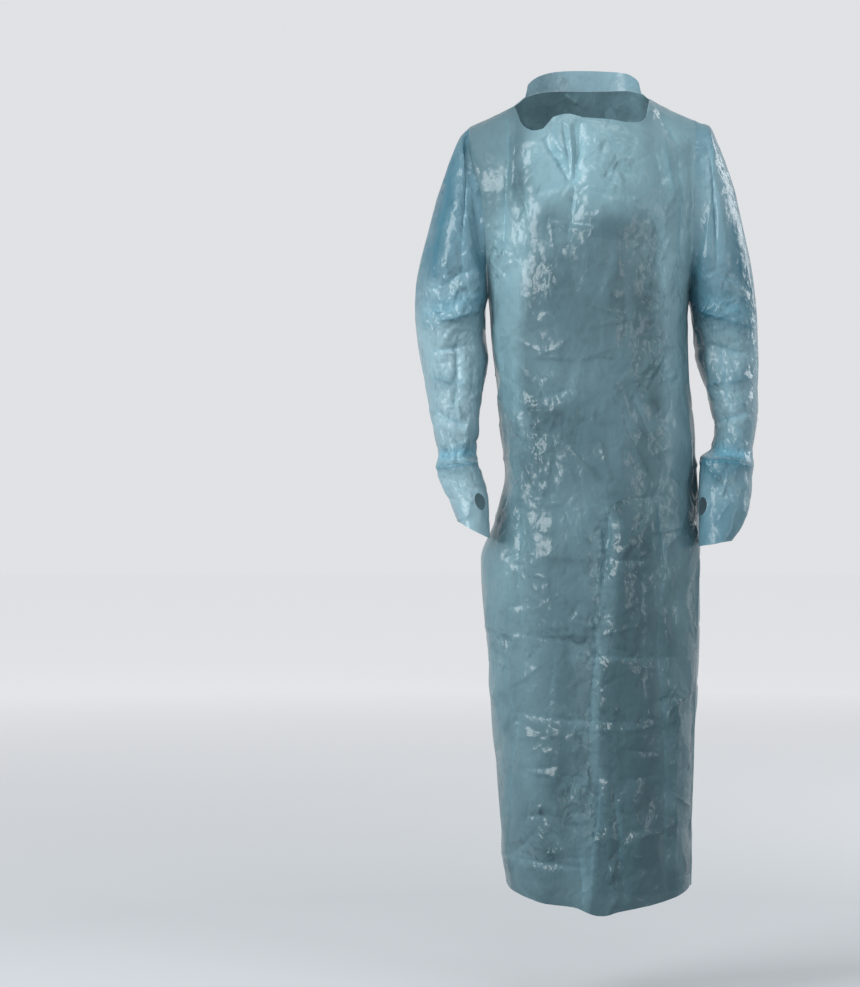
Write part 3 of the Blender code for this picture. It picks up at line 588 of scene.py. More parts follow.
FRONT_CREASES = table(
    Crease,
    # the tuck under the neckline and the pleats in it
    (-70, -78, -27, -150, 3.5, 4.6, SHARP, 0.7), (-60, -66, -24, -146, 6, -2.4, SOFT, 0.2),
    (-13, -54, -25, -150, 3.5, 4.6, SHARP, 0.7), (-40, -52, -31, -132, 2.5, 3.4, SHARP, 0.5),
    (-30, -50, -28, -136, 2.2, -2.2, SHARP, 0.3), (-22, -56, -24, -130, 2.5, 3.2, SHARP, 0.5),
    (-27, -146, -36, -232, 3.5, 3.0, SHARP, 0.55), (-20, -152, -29, -206, 5, -2.2, SOFT, 0.1),
    # from the tuck out over the chest
    (-24, -150, 40, -168, 4, 2.2, SHARP, 0.15), (-32, -148, -84, -160, 5, 1.8, SHARP, 0.1),
    (4, -82, 56, -80, 4, -2.0, SHARP, 0.1), (6, -128, 52, -132, 4, 2.2, SHARP, 0.2),
    (12, -112, 70, -120, 5, -1.8, SHARP, 0), (-69, -200, 10, -212, 4.5, 3.4, SHARP, 0.15),
    (-66, -207, 8, -221, 5, -2.4, SOFT, 0), (20, -150, 92, -196, 6, 2.2, SHARP, 0.1),
    (34, -226, 12, -304, 5, 2.8, SHARP, 0.1), (44, -240, 22, -330, 6, -2.2, SOFT, 0),
    (-114, -150, -96, -196, 4, 2.0, SHARP, 0.1),
    # down from the shoulders beside the armholes
    (-126, -44, -138, -250, 4, 3.0, SHARP, 0.5), (-112, -36, -124, -180, 6, -3.2, SOFT, 0.1),
    (-100, -62, -110, -236, 5, 2.0, SHARP, 0.2), (104, -34, 134, -84, 5, 3.2, SHARP, 0.4),
    (112, -70, 122, -176, 5, -3.0, SOFT, 0.2), (130, -86, 136, -262, 4, 3.2, SHARP, 0.6),
    (96, -50, 104, -150, 5, 2.0, SHARP, 0.2), (88, -190, 118, -262, 4, 2.4, SHARP, 0.2),
    # over the waist
    (-108, -150, -84, -250, 9, 2.2, SOFT, 0), (-62, -262, -78, -350, 5, 2.4, SHARP, 0.1),
    (-70, -300, -52, -352, 4, -2.0, SHARP, 0.1), (96, -232, 112, -330, 4, 2.8, SHARP, 0.3),
    (84, -280, 104, -372, 5, -2.6, SHARP, 0.1), (50, -290, 52, -380, 5, 2.0, SHARP, 0),
    (-85, -466, -24, -448, 5, 2.8, SHARP, 0.15), (-92, -480, -40, -486, 5, -2.2, SHARP, 0),
    (45, -440, 84, -512, 5, 3.0, SHARP, 0.15), (58, -430, 100, -480, 5, -2.4, SHARP, 0),
    (-20, -392, -44, -470, 8, 2.0, SOFT, 0), (96, -400, 124, -446, 5, 2.8, SHARP, 0.25),
    (-60, -500, -46, -585, 5, 2.2, SHARP, 0), (20, -500, 30, -600, 8, 2.2, SOFT, 0),
    # long folds of the skirt
    (22, -600, 14, -812, 4, 3.2, SHARP, 0.35), (13, -640, 19, -748, 4, 2.8, SHARP, 0.25),
    (8, -760, -2, -1000, 4.5, 3.2, SHARP, 0.35), (14, -1000, -5, -1196, 5, 3.8, SHARP, 0.45),
    (32, -980, 46, -1200, 5, 3.2, SHARP, 0.3), (22, -1090, 30, -1206, 5, -3.0, SHARP, 0.1),
    (-20, -1120, -12, -1212, 4, 3.4, SHARP, 0.4), (56, -1030, 70, -1150, 7, -2.4, SOFT, 0),
    (-56, -820, -64, -980, 5, 2.2, SHARP, 0.15), (-36, -900, -56, -1050, 7, -2.2, SOFT, 0),
    (-112, -610, -100, -870, 4, 2.6, SHARP, 0.3), (-124, -640, -116, -1180, 4, 2.4, SHARP, 0.3),
    (104, -560, 110, -1190, 4, 2.8, SHARP, 0.35), (118, -700, 124, -1180, 4, -2.4, SHARP, 0.2),
    (70, -700, 82, -900, 6, 2.0, SHARP, 0.1), (-44, -610, -54, -760, 7, 2.2, SOFT, 0),
    # level creases of a garment that was packed flat
    (-130, -804, -10, -822, 3.5, 2.4, SHARP, 0.15), (-40, -838, 118, -842, 3.5, 2.4, SHARP, 0.2),
    (-120, -812, 40, -806, 4, -1.8, SHARP, 0), (-124, -926, 60, -934, 3.5, 2.0, SHARP, 0.15),
    (-40, -950, 126, -938, 3.5, -2.0, SHARP, 0.1), (-128, -1140, -10, -1150, 3.5, 2.2, SHARP, 0.2),
    (-118, -1012, 110, -1020, 4, 1.6, SHARP, 0.1), (30, -702, 90, -700, 4, 2.2, SHARP, 0.1),
    (-96, -690, 10, -700, 4, -1.6, SHARP, 0), (-70, -300, 60, -306, 5, 1.4, SHARP, 0),
)
FRONT_PATCHES = table(
    Patch,
    (-94, -505, 34, 60, 1.2), (-86, -585, 32, 46, 0.5), (-139, -252, 16, 40, 1.0),
    (34, -126, 40, 30, 0.7), (98, -292, 22, 62, 1.0), (84, -418, 26, 30, 0.8),
    (112, -408, 18, 34, 0.8), (-64, -298, 18, 44, 0.6), (16, -706, 14, 56, 0.9),
    (4, -846, 18, 56, 1.0), (0, -936, 40, 26, 0.9), (-22, -1048, 26, 56, 1.0),
    (-81, -1134, 36, 22, 0.9), (-76, -1078, 18, 26, 0.7), (-99, -694, 14, 44, 0.45),
    (-137, -830, 13, 40, 0.8), (56, -702, 34, 18, 0.6), (65, -850, 30, 18, 0.7),
    (116, -918, 18, 28, 0.7), (-62, -806, 48, 26, 0.5), (26, -1120, 30, 60, 0.5),
    (-10, -470, 60, 80, 0.25), (0, -640, 110, 120, 0.25), (-20, -1000, 110, 160, 0.25),
    (0, -200, 120, 110, 0.15),
)

# %% [markdown]
# The panel's grid has columns about 2.4 mm apart at the hips and rows as far apart, so a crease
# 5 mm wide gets a crest and two slopes. `dress` adds everything up: the solid's own soft folds, the
# listed creases, the strewn crinkles and the random facets. Near a sealed seam or an armhole
# all of it fades out, because a seam is stiffer than the film beside it.

# %% The front panel
# How far the films swell towards each other below the underarm, where the photo shows no gap
Nearing = namedtuple("Nearing", "z sleeve_right sleeve_left body_right")
NEARER = table(
    Nearing,
    (-60, 0, 0, 0), (-280, 1.5, 1.5, 0), (-306, 2.2, 2.2, 0), (-340, 3.2, 2.6, 0.2),
    (-372, 5.4, 3.0, 0.6), (-432, 9.0, 2.0, 2.8), (-504, 10.0, 0, 5.0), (-560, 6.0, 0, 5.0),
    (-620, 0, 0, 2.5), (-700, 0, 0, 0), (-1300, 0, 0, 0),
)
COLUMN_MM = 2.4
ROW_MM = 2.45
SEAM_FADE = 9
PANEL_BOLDNESS = 1.5
SLEEVE_BOLDNESS = 2.0
CRINKLES_A_PATCH = 13
LINE_CRINKLE = 0.6
MOST_CRINKLED = 1.3


def soft_folds(points, folds):
    """The main folds that the solid has too, each a soft ridge between two points."""
    return crease_field(points, [Crease(*fold, SOFT, 0) for fold in folds], 90)[0] * 0.75


def bolder(creases, times):
    return [crease._replace(height=crease.height * times) for crease in creases]


def crinkled_more(amount, line):
    """Film is crinkled in its patches and, a little less, along its sharp creases."""
    # more crinkled along sharp creases, which whitens the film there too, partly as painted glint lines
    return np.clip(amount + LINE_CRINKLE * line, 0, MOST_CRINKLED)


def down_the_grid(grid):
    """How far each point lies from its column's first one, along the sheet."""
    return np.cumsum(np.linalg.norm(np.diff(grid, axis=0, prepend=grid[:1]), axis=-1), axis=0)


def dress(name, grid, folds, creases, patches, seed, calm=1.0, quiet=1.0, swell=0.0):
    """Move a grid's points along their normals by all their creases, and build the sheet."""
    small = crinkles(patches, CRINKLES_A_PATCH, seed)
    amount = np.clip(patch_field(grid, patches), 0, MOST_CRINKLED)
    height, blue, line = crease_field(grid, bolder(creases, PANEL_BOLDNESS) + small, seed)
    soft = soft_folds(grid, folds)
    rise = (height + calm * crumple(grid, amount, seed)) * quiet + soft + swell
    columns = np.arange(grid.shape[1])
    from_edge = np.minimum(columns, columns[::-1]) * COLUMN_MM
    rise = rise * np.clip(np.minimum(from_edge, down_the_grid(grid)) / SEAM_FADE, 0, 1) ** 0.7
    grid = grid + normals_of(grid) * rise[..., None]
    # the heights of the creases and folds also give the sheet's painted light and shade
    return make_sheet(name, grid, np.clip(blue, 0, 1), crinkled_more(amount, line), rise=height + soft)


def drawn_in(grid, first=0.0, last=0.0):
    """Pull the first and last column in from the seams that they meet."""
    for edge, neighbour, distance in ((0, 1, first), (-1, -2, last)):
        step = grid[:, neighbour] - grid[:, edge]
        grid[:, edge] += step / np.linalg.norm(step, axis=-1, keepdims=True) * distance
    return grid


def row_shares(count):
    """Shares from the underarm up to the shoulder, closer together where it rounds over."""
    return np.cos(np.linspace(0, math.pi / 2, count + 1))


def side_seam(across, z):
    """The turn of the side seam, of the wearer's right one where across is negative."""
    right, left = lookup(SIDE_SEAMS, "z", "right", z), lookup(SIDE_SEAMS, "z", "left", z)
    return np.where(across < 0, right, left)


def front_panel_grid():
    def hips(u):
        return body_points(np.full(u.shape, HIPS_Z), u * side_seam(u, HIPS_Z))

    across = evenly(hips, -1, 1, COLUMN_MM)
    upper = shoulder_points(FRONT_TOP, across, row_shares(round(270 / ROW_MM))[:-1, None], -1)
    upper[0, :, 1] -= SEAM_GAP
    z = np.linspace(UNDERARM_Z, HEM_Z, round((UNDERARM_Z - HEM_Z) / ROW_MM) + 1)[:, None]
    turn = across * side_seam(across, z)
    lower = hem_drop(body_points(z, turn), turn)
    return drawn_in(np.concatenate([upper, lower]), SEAM_GAP / 2, SEAM_GAP / 2)


def front_calm(grid):
    """The film lies calmer over the wearer's bust and waist than anywhere else."""
    off = ((grid[..., 0] + 12) / 66) ** 2 + ((grid[..., 2] + 275) / 62) ** 2
    return 1 - 0.6 * np.exp(-(off**2))


panel = front_panel_grid()
swell = lookup(NEARER, "z", "body_right", panel[..., 2]) * np.clip((-105 - panel[..., 0]) / 25, 0, 1)
fine = strewn(0, -880, 190, 420, 150, 12) + strewn(0, -330, 190, 330, 80, 13)
front = dress(
    "front_film", panel, FRONT_FOLDS, FRONT_CREASES + fine, FRONT_PATCHES, 1,
    quiet=front_calm(panel), swell=swell,
)

# %% [markdown]
# ## The back: two halves and a yoke
#
# The back is open. A yoke joins the shoulder blades, and two halves run from the side seams to their
# free edges, which meet and lap low down. Short tables give each free edge, and each sheet is a grid
# between its seam and that edge, with folds and creases as in front. The neck band stands on the
# yoke's top edge.

# %% Edges and creases of the back
# Lower edge of the yoke, from the wearer's right armhole to the left one
YokeHem = namedtuple("YokeHem", "across z")
YOKE_HEM = table(
    YokeHem,
    (-1.00, -257), (-0.70, -243), (-0.45, -234), (-0.25, -212), (-0.05, -205), (0.15, -212),
    (0.35, -223), (0.60, -230), (1.00, -244),
)

# Free edges of the two back halves: from the underarm in to the knot, then down the centre back.
# lap is how far the edge stands out from the body where one half lies on the other.
BackEdge = namedtuple("BackEdge", "z x lap")
LEFT_EDGE = table(
    BackEdge,
    (-306, 146, 0), (-322, 137, 0), (-337, 128, 0), (-370, 126, 0), (-388, 121, 0), (-402, 100, 0),
    (-418, 78, 0), (-434, 52, 0), (-450, 24, 0), (-464, 4, 0), (-478, 1, 0), (-500, 6, 0),
    (-560, 20, 0), (-650, 27, 0), (-731, 28, 0), (-839, 23, 0), (-932, 18, 0.5), (-1035, 5, 1),
    (-1118, -8, 1), (-1230, -22, 1),
)
RIGHT_EDGE = table(
    BackEdge,
    (-306, -143, 0), (-318, -124, 0), (-332, -106, 0), (-352, -94, 0), (-380, -88, 0),
    (-404, -76, 0), (-418, -62, 0), (-434, -42, 0), (-450, -20, 0), (-464, -5, 0), (-478, -3, 0),
    (-500, -9, 0), (-560, -26, 0), (-650, -44, 0), (-759, -50, 0), (-819, -30, 0), (-882, -13, 0),
    (-950, -5, -0.5), (-1025, 4, -1), (-1118, 12, -1), (-1230, 18, -1),
)
LEFT_HALF_FOLDS = table(
    Fold,
    (10, -480, 104, -440, 8, 13), (12, -488, 122, -486, 9, 13), (12, -497, 110, -552, 9, 13),
    (16, -510, 82, -690, 12, 10), (98, -640, 84, -1230, 22, 8), (56, -740, 50, -1230, 18, -6),
)
RIGHT_HALF_FOLDS = table(
    Fold,
    (-12, -474, -104, -428, 8, 13), (-14, -484, -130, -480, 9, 13), (-14, -494, -126, -560, 9, 13),
    (-20, -510, -92, -690, 12, 10), (-112, -640, -100, -1230, 22, 8),
    (-66, -780, -58, -1230, 18, -6),
)
YOKE_FOLDS = table(
    Fold,
    (-130, -44, -140, -250, 14, 7), (128, -50, 138, -240, 14, 7), (-96, -96, 84, -108, 18, 6),
    (-70, -160, 70, -172, 16, -5), (-110, -205, 20, -180, 14, 4),
)
LEFT_HALF_CREASES = table(
    Crease,
    (8, -478, 100, -430, 3.5, 3.4, SHARP, 0.6), (10, -482, 120, -462, 4, -3.0, SHARP, 0.2),
    (10, -486, 128, -486, 3.5, 3.6, SHARP, 0.5), (12, -492, 112, -514, 4, -3.0, SHARP, 0.1),
    (12, -496, 104, -546, 3.5, 3.4, SHARP, 0.4), (12, -500, 70, -560, 4, -2.6, SHARP, 0.1),
    (60, -540, 120, -600, 5, 2.8, SHARP, 0.2), (124, -380, 40, -440, 4, 3.0, SHARP, 0.7),
    (40, -620, 64, -820, 6, 2.4, SHARP, 0.2), (90, -640, 84, -900, 5, 2.4, SHARP, 0.2),
    (50, -800, 44, -1150, 5, 2.6, SHARP, 0.2), (110, -820, 100, -1190, 4, 2.6, SHARP, 0.25),
    (24, -900, 96, -912, 4, 2.0, SHARP, 0.1), (16, -1040, 110, -1046, 4, 2.2, SHARP, 0.2),
    (30, -740, 120, -746, 4, 2.0, SHARP, 0.1),
)
RIGHT_HALF_CREASES = table(
    Crease,
    (-10, -472, -100, -420, 3.5, 3.4, SHARP, 0.6), (-12, -478, -112, -452, 4, -3.0, SHARP, 0.2),
    (-12, -482, -126, -476, 3.5, 3.6, SHARP, 0.4), (-12, -488, -118, -506, 4, -3.0, SHARP, 0.1),
    (-14, -492, -120, -552, 3.5, 3.4, SHARP, 0.4), (-14, -498, -88, -572, 4, -2.6, SHARP, 0.1),
    (-60, -560, -118, -640, 5, 2.8, SHARP, 0.2), (-92, -378, -30, -444, 4, 3.0, SHARP, 0.7),
    (-52, -640, -70, -860, 6, 2.4, SHARP, 0.2), (-100, -700, -94, -960, 5, 2.4, SHARP, 0.2),
    (-60, -880, -50, -1180, 5, 2.6, SHARP, 0.2), (-30, -930, -110, -940, 4, 2.0, SHARP, 0.1),
    (-10, -1060, -110, -1054, 4, 2.2, SHARP, 0.2), (-50, -780, -120, -770, 4, 2.0, SHARP, 0.1),
)
YOKE_CREASES = table(
    Crease,
    (-92, -30, -118, -120, 4, 3.2, SHARP, 0.4), (-76, -40, -104, -190, 5, 2.8, SHARP, 0.3),
    (-110, -70, -128, -210, 4, -2.8, SHARP, 0.1), (66, -36, 96, -130, 5, 3.0, SHARP, 0.3),
    (86, -60, 108, -190, 4, -2.8, SHARP, 0.2), (30, -30, 20, -120, 6, 2.4, SHARP, 0.1),
    (-40, -60, 70, -84, 5, 2.4, SHARP, 0.2), (-60, -120, 50, -132, 5, 2.6, SHARP, 0.2),
    (-20, -96, 44, -160, 5, -2.4, SHARP, 0.1), (40, -150, -60, -206, 5, 2.8, SHARP, 0.3),
    (50, -160, 120, -216, 5, 2.8, SHARP, 0.3), (-70, -210, 30, -176, 4, 2.6, SHARP, 0.4),
    (-120, -226, -70, -190, 4, 2.6, SHARP, 0.3), (90, -200, 130, -160, 5, -2.4, SHARP, 0.1),
)
LEFT_HALF_PATCHES = table(
    Patch,
    (60, -480, 60, 60, 0.8), (110, -560, 40, 70, 0.7), (70, -760, 50, 90, 0.5),
    (60, -1000, 60, 130, 0.5),
)
RIGHT_HALF_PATCHES = table(
    Patch,
    (-60, -480, 60, 60, 0.8), (-110, -600, 40, 70, 0.9), (-90, -800, 40, 110, 0.8),
    (-70, -1040, 50, 110, 0.7),
)
YOKE_PATCHES = table(
    Patch,
    (-60, -110, 60, 60, 0.8), (60, -130, 70, 60, 1.0), (100, -180, 40, 40, 1.0),
    (-90, -190, 40, 40, 1.0), (10, -190, 50, 20, 0.8),
)


# %% The back halves, the yoke and the neck band
def edge_turn(edge, z):
    """Degrees from the centre front at which a back half ends at a height."""
    side = 1 if edge[0].x > 0 else -1
    share = (lookup(edge, "z", "x", z) - torso_middle(z)) / torso_half_width(z) * side
    share = np.clip(share, -1, 1)
    return 180 - np.degrees(np.arcsin(np.copysign(np.abs(share) ** (BODY_SQUARENESS / 2), share)))


def back_half_grid(side, edge):
    seam_column = "left" if side > 0 else "right"
    z = np.linspace(UNDERARM_Z, HEM_Z, round((UNDERARM_Z - HEM_Z) / ROW_MM) + 1)[:, None]
    seam = lookup(SIDE_SEAMS, "z", seam_column, z)
    free = edge_turn(edge, z)
    share = np.linspace(0, 1, round(BACK_HALF_WIDTH[seam_column] / COLUMN_MM) + 1)
    turn = seam + (free - seam) * share
    grid = body_points(z, side * turn)
    nearness = np.clip((turn - LAP_FROM_TURN) / (LAP_TO_TURN - LAP_FROM_TURN), 0, 1)
    grid[..., 1] += lookup(edge, "z", "lap", z) * LAP_SPREAD * nearness
    grid = hem_drop(grid, side * turn)
    if side > 0:
        return drawn_in(grid, first=SEAM_GAP / 2)
    return drawn_in(grid[:, ::-1], last=SEAM_GAP / 2)


def yoke_grid():
    across = evenly(lambda u: shoulder_points(BACK_TOP, u, 0.4, 1, -230), -1, 1, COLUMN_MM)
    share = row_shares(round(260 / ROW_MM))[:, None]
    grid = shoulder_points(BACK_TOP, across, share, 1, lookup(YOKE_HEM, "across", "z", across))
    grid[0, :, 1] += SEAM_GAP
    return drawn_in(grid[:, ::-1], SEAM_GAP / 2, SEAM_GAP / 2)


def neck_band_grid():
    low, high = BAND_STATIONS
    across = evenly(lambda u: shoulder_points(BACK_TOP, u, 1.0, 1), low, high, 1.6)
    foot = shoulder_points(BACK_TOP, across, 1.0, 1)
    level = np.linspace(1, 0, 18)[:, None]
    end = np.sin(np.pi * np.linspace(0, 1, len(across))) ** 0.5
    inward = -foot * np.array([1, 1, 0])
    inward = inward / np.linalg.norm(inward, axis=-1, keepdims=True)
    height = BAND_GAP + BAND_HEIGHT * level * (BAND_END + (1 - BAND_END) * end)
    up = height[..., None] * np.array([0, 0, 1])
    return (foot + up + inward * (BAND_LEAN * level)[..., None])[:, ::-1]


back_left = dress(
    "back_left_film", back_half_grid(1, LEFT_EDGE), LEFT_HALF_FOLDS,
    LEFT_HALF_CREASES + strewn(80, -820, 90, 420, 80, 14), LEFT_HALF_PATCHES, 11
)
back_right = dress(
    "back_right_film", back_half_grid(-1, RIGHT_EDGE), RIGHT_HALF_FOLDS,
    RIGHT_HALF_CREASES + strewn(-80, -820, 90, 420, 80, 24), RIGHT_HALF_PATCHES, 21
)
yoke = dress(
    "yoke_film", yoke_grid(), YOKE_FOLDS,
    YOKE_CREASES + strewn(0, -130, 190, 120, 70, 33), YOKE_PATCHES, 31,
)
band = dress("neck_band_film", neck_band_grid(), [], [], [], 41, calm=0.35)

# %% [markdown]
# ## The sleeves
#
# A sleeve is a tube through a table of rings, from the armhole to the slanted cuff. Each ring is a
# squarish oval between its outer and inner end as the front view shows them. A spline through the
# rings gives a fine grid, and the same kinds of folds and creases as on the front panel move it.
# The film is doubled and gathered at the elbow and the wrist, which shows as a bluer band.

# %% Rings and creases of the sleeves
# Sleeve rings from the shoulder to the cuff: the outer and the inner end of each ring as the front
# shows them, and how far it reaches to the front and back
SleeveRing = namedtuple("SleeveRing", "outer_x outer_z inner_x inner_z front back")
RIGHT_SLEEVE = table(
    SleeveRing,
    (192, -68, 153.0, -310, -74, 76), (205, -96, 153.5, -314, -80, 82),
    (217, -130, 154.0, -319, -82, 84), (230, -170, 154.0, -325, -81, 85),
    (243, -219, 154.0, -333, -78, 84), (254, -260, 153.5, -343, -74, 82),
    (261, -300, 153.0, -356, -70, 80), (263, -338, 152.0, -373, -66, 77),
    (262, -374, 152.0, -396, -64, 72), (257, -418, 154.0, -428, -64, 64),
    (250, -462, 157.0, -464, -67, 52), (244, -500, 161.0, -500, -71, 38),
    (237, -531, 163.0, -530, -76, 25), (232, -558, 163.0, -553, -82, 12),
    (228, -579, 157.0, -574, -89, 1), (218, -598, 151.0, -592, -97, -7),
    (208, -616, 148.0, -611, -105, -16), (202, -631, 147.5, -634, -112, -25),
    (196, -645, 147.0, -669, -120, -34),
)
LEFT_SLEEVE = table(
    SleeveRing,
    (180, -50, 153.0, -310, -74, 76), (195, -80, 153.5, -314, -80, 82),
    (210, -118, 154.0, -319, -82, 84), (224, -164, 154.5, -325, -81, 85),
    (237, -220, 155.0, -333, -78, 84), (247, -268, 155.5, -343, -74, 82),
    (254, -318, 156.5, -357, -70, 80), (257, -358, 159.0, -376, -66, 76),
    (258, -400, 165.0, -404, -64, 70), (257, -442, 172.0, -438, -64, 61),
    (254, -482, 181.0, -476, -68, 48), (249, -514, 187.0, -508, -72, 34),
    (246, -537, 181.0, -532, -78, 22), (244, -556, 163.0, -549, -86, 10),
    (241, -577, 161.0, -570, -94, -1), (238, -601, 158.0, -594, -102, -11),
    (233, -623, 158.0, -620, -110, -21), (222, -647, 159.0, -648, -119, -32),
    (206, -670, 159.0, -680, -127, -42),
)

# Thumb holes: the ring and the corner of the ring that their middle sits on
THUMB_HOLES = {"right": (17, 8), "left": (17, 10)}

# Folds of a sleeve, from one height and turn round the arm to another. The turn goes in degrees
# from the outer side, over the front at 90 and the inner side at 180, to the back at 270.
SleeveFold = namedtuple("SleeveFold", "z0 turn0 z1 turn1 reach height")
SLEEVE_MM_PER_DEGREE = 0.95
SLEEVE_FOLDS = table(
    SleeveFold,
    (-96, 40, -250, 120, 12, 6), (-150, 30, -290, 112, 12, 5), (-110, 320, -255, 240, 12, 6),
    (-280, 230, -330, 130, 13, -5), (-330, 250, -395, 110, 13, 5), (-375, 255, -430, 100, 12, -4),
    (-420, 240, -500, 80, 12, 4), (-536, -20, -548, 190, 8, 5), (-560, -20, -572, 190, 8, -4),
    (-582, -20, -592, 200, 8, 4),
)
RIGHT_SLEEVE_FRONT = table(
    Crease,
    (-176, -70, -186, -300, 4, 3.4, SHARP, 0.6), (-196, -90, -230, -290, 5, 3.0, SHARP, 0.3),
    (-206, -110, -214, -330, 6, -2.6, SOFT, 0.1), (-168, -120, -176, -330, 5, 2.4, SHARP, 0.5),
    (-256, -300, -160, -320, 5, 2.6, SHARP, 0.3), (-256, -338, -158, -350, 15, 2.4, SOFT, 0.22),
    (-254, -360, -160, -376, 4, -3.4, SHARP, 0.3), (-240, -250, -170, -330, 5, 2.8, SHARP, 0.3),
    (-250, -390, -166, -400, 4, 2.8, SHARP, 0.3), (-250, -420, -164, -450, 5, -3.0, SHARP, 0.2),
    (-246, -440, -160, -425, 4, 3.0, SHARP, 0.4), (-236, -500, -162, -462, 5, 3.2, SHARP, 0.5),
    (-232, -480, -170, -510, 5, -2.8, SHARP, 0.2), (-228, -532, -160, -542, 9, 3.6, SOFT, 0.4),
    (-228, -544, -156, -552, 4, -3.4, SHARP, 0.35), (-226, -556, -158, -560, 5, 3.2, SOFT, 0.3),
    (-214, -562, -160, -590, 4, 2.6, SHARP, 0.3),
)
LEFT_SLEEVE_FRONT = table(
    Crease,
    (166, -70, 160, -200, 4, 3.4, SHARP, 0.6), (176, -66, 206, -160, 5, 3.2, SHARP, 0.4),
    (196, -80, 176, -180, 5, -3.0, SHARP, 0.3), (190, -130, 164, -250, 5, 3.2, SHARP, 0.6),
    (210, -150, 240, -310, 7, -3.2, SOFT, 0.1), (222, -130, 244, -300, 5, 3.0, SHARP, 0.4),
    (170, -220, 206, -190, 4, 2.8, SHARP, 0.4), (166, -260, 232, -290, 5, 3.0, SHARP, 0.3),
    (164, -300, 240, -278, 5, -2.8, SHARP, 0.2), (158, -330, 246, -306, 15, 2.4, SOFT, 0.2),
    (160, -345, 240, -330, 4, -3.2, SHARP, 0.25), (214, -300, 250, -420, 6, 2.6, SHARP, 0.2),
    (172, -420, 250, -380, 5, 3.0, SHARP, 0.3), (178, -450, 250, -430, 5, -2.8, SHARP, 0.2),
    (186, -500, 248, -470, 5, 3.2, SHARP, 0.4), (168, -546, 244, -522, 9, 3.6, SOFT, 0.35),
    (168, -556, 244, -540, 4, -3.4, SHARP, 0.3), (168, -566, 240, -552, 5, 3.2, SOFT, 0.3),
    (176, -600, 230, -590, 4, 2.4, SHARP, 0.3),
)
SLEEVE_BACK = table(
    Crease,
    (176, -70, 190, -280, 5, 3.2, SHARP, 0.5), (206, -100, 236, -300, 5, -3.0, SHARP, 0.2),
    (166, -270, 244, -300, 5, 3.2, SHARP, 0.4), (160, -310, 250, -336, 14, 3.4, SOFT, 0.3),
    (162, -330, 250, -356, 4, -3.2, SHARP, 0.5), (170, -380, 250, -400, 5, 3.0, SHARP, 0.4),
    (190, -360, 206, -480, 5, 3.0, SHARP, 0.4), (176, -440, 246, -430, 5, -2.8, SHARP, 0.2),
    (180, -500, 240, -480, 5, 3.0, SHARP, 0.4), (160, -536, 246, -546, 9, 3.6, SOFT, 0.5),
    (160, -556, 240, -562, 4, -3.2, SHARP, 0.7),
)
SLEEVE_PATCHES = table(
    Patch,
    (215, -300, 40, 40, 1.0), (210, -350, 40, 40, 1.0), (215, -430, 34, 50, 0.9),
    (200, -540, 36, 30, 1.2), (205, -480, 34, 30, 0.8), (190, -590, 30, 24, 0.6),
    (180, -140, 26, 60, 0.5),
)
SLEEVE_COLUMNS = 200
HOLE_HALF_WIDTH = 11
HOLE_HALF_LENGTH = 14
SLEEVE_CREASE_SHADE = 1.7


# %% The sleeves
def armhole_ring(side, count):
    """The sleeve's first ring, round the armhole: over the tip, down the front, up the back."""
    angle = 2 * math.pi * np.arange(count) / count
    share = (1 + np.cos(angle)) / 2
    front_ring = shoulder_points(FRONT_TOP, np.full(count, side * 1.0), share, -1)
    back_ring = shoulder_points(BACK_TOP, np.full(count, side * 1.0), share, 1)
    ring = np.where((np.sin(angle) > 0)[:, None], front_ring, back_ring)
    ring[:, 0] += side * (ARMHOLE_GAP + (UNDERARM_GAP - ARMHOLE_GAP) * (1 - share))
    return ring


def sleeve_ring(row, side, count):
    """One ring of a sleeve between its outer and inner end."""
    angle = 2 * math.pi * np.arange(count) / count
    out = rounded(np.cos(angle), SLEEVE_SQUARENESS)
    forward = rounded(np.sin(angle), SLEEVE_SQUARENESS)
    x = (row.outer_x + row.inner_x) / 2 + (row.outer_x - row.inner_x) / 2 * out
    z = (row.outer_z + row.inner_z) / 2 + (row.outer_z - row.inner_z) / 2 * out
    y = (row.front + row.back) / 2 + (row.front - row.back) / 2 * forward
    return stacked(side * x, y, z)


def sleeve_rings(side, rows, count):
    return np.array([armhole_ring(side, count)] + [sleeve_ring(row, side, count) for row in rows])


def sleeve_grid(side, rows):
    """A fine grid down the sleeve, its rows even along the outer side."""
    rings = sleeve_rings(side, rows, SLEEVE_COLUMNS)
    stations = np.arange(len(rings))
    middle = rings.mean(axis=1)
    steps = np.linalg.norm(np.diff((rings[:, 0] + middle) / 2, axis=0), axis=-1)
    run = np.concatenate([[0], np.cumsum(steps)])
    count = round(run[-1] / 2.1)
    at = np.interp(np.linspace(0, run[-1], count + 1), run, stations)
    return smooth_curve(stations, rings, at), at


def sleeve_folds(grid, count):
    """The solid's own soft folds round the sleeve, read by height and turn."""
    turn = np.broadcast_to(360 * np.arange(count) / count, grid.shape[:2])
    rise = np.zeros(grid.shape[:2])
    for lap in (0, 360):
        place = stacked(grid[..., 2], 0 * turn, (turn - lap) * SLEEVE_MM_PER_DEGREE)
        for fold in SLEEVE_FOLDS:
            start, end = fold.turn0 * SLEEVE_MM_PER_DEGREE, fold.turn1 * SLEEVE_MM_PER_DEGREE
            crease = Crease(fold.z0, start, fold.z1, end, fold.reach, fold.height, SOFT, 0)
            rise += crease_field(place, [crease], 95)[0] * 0.75
    return rise


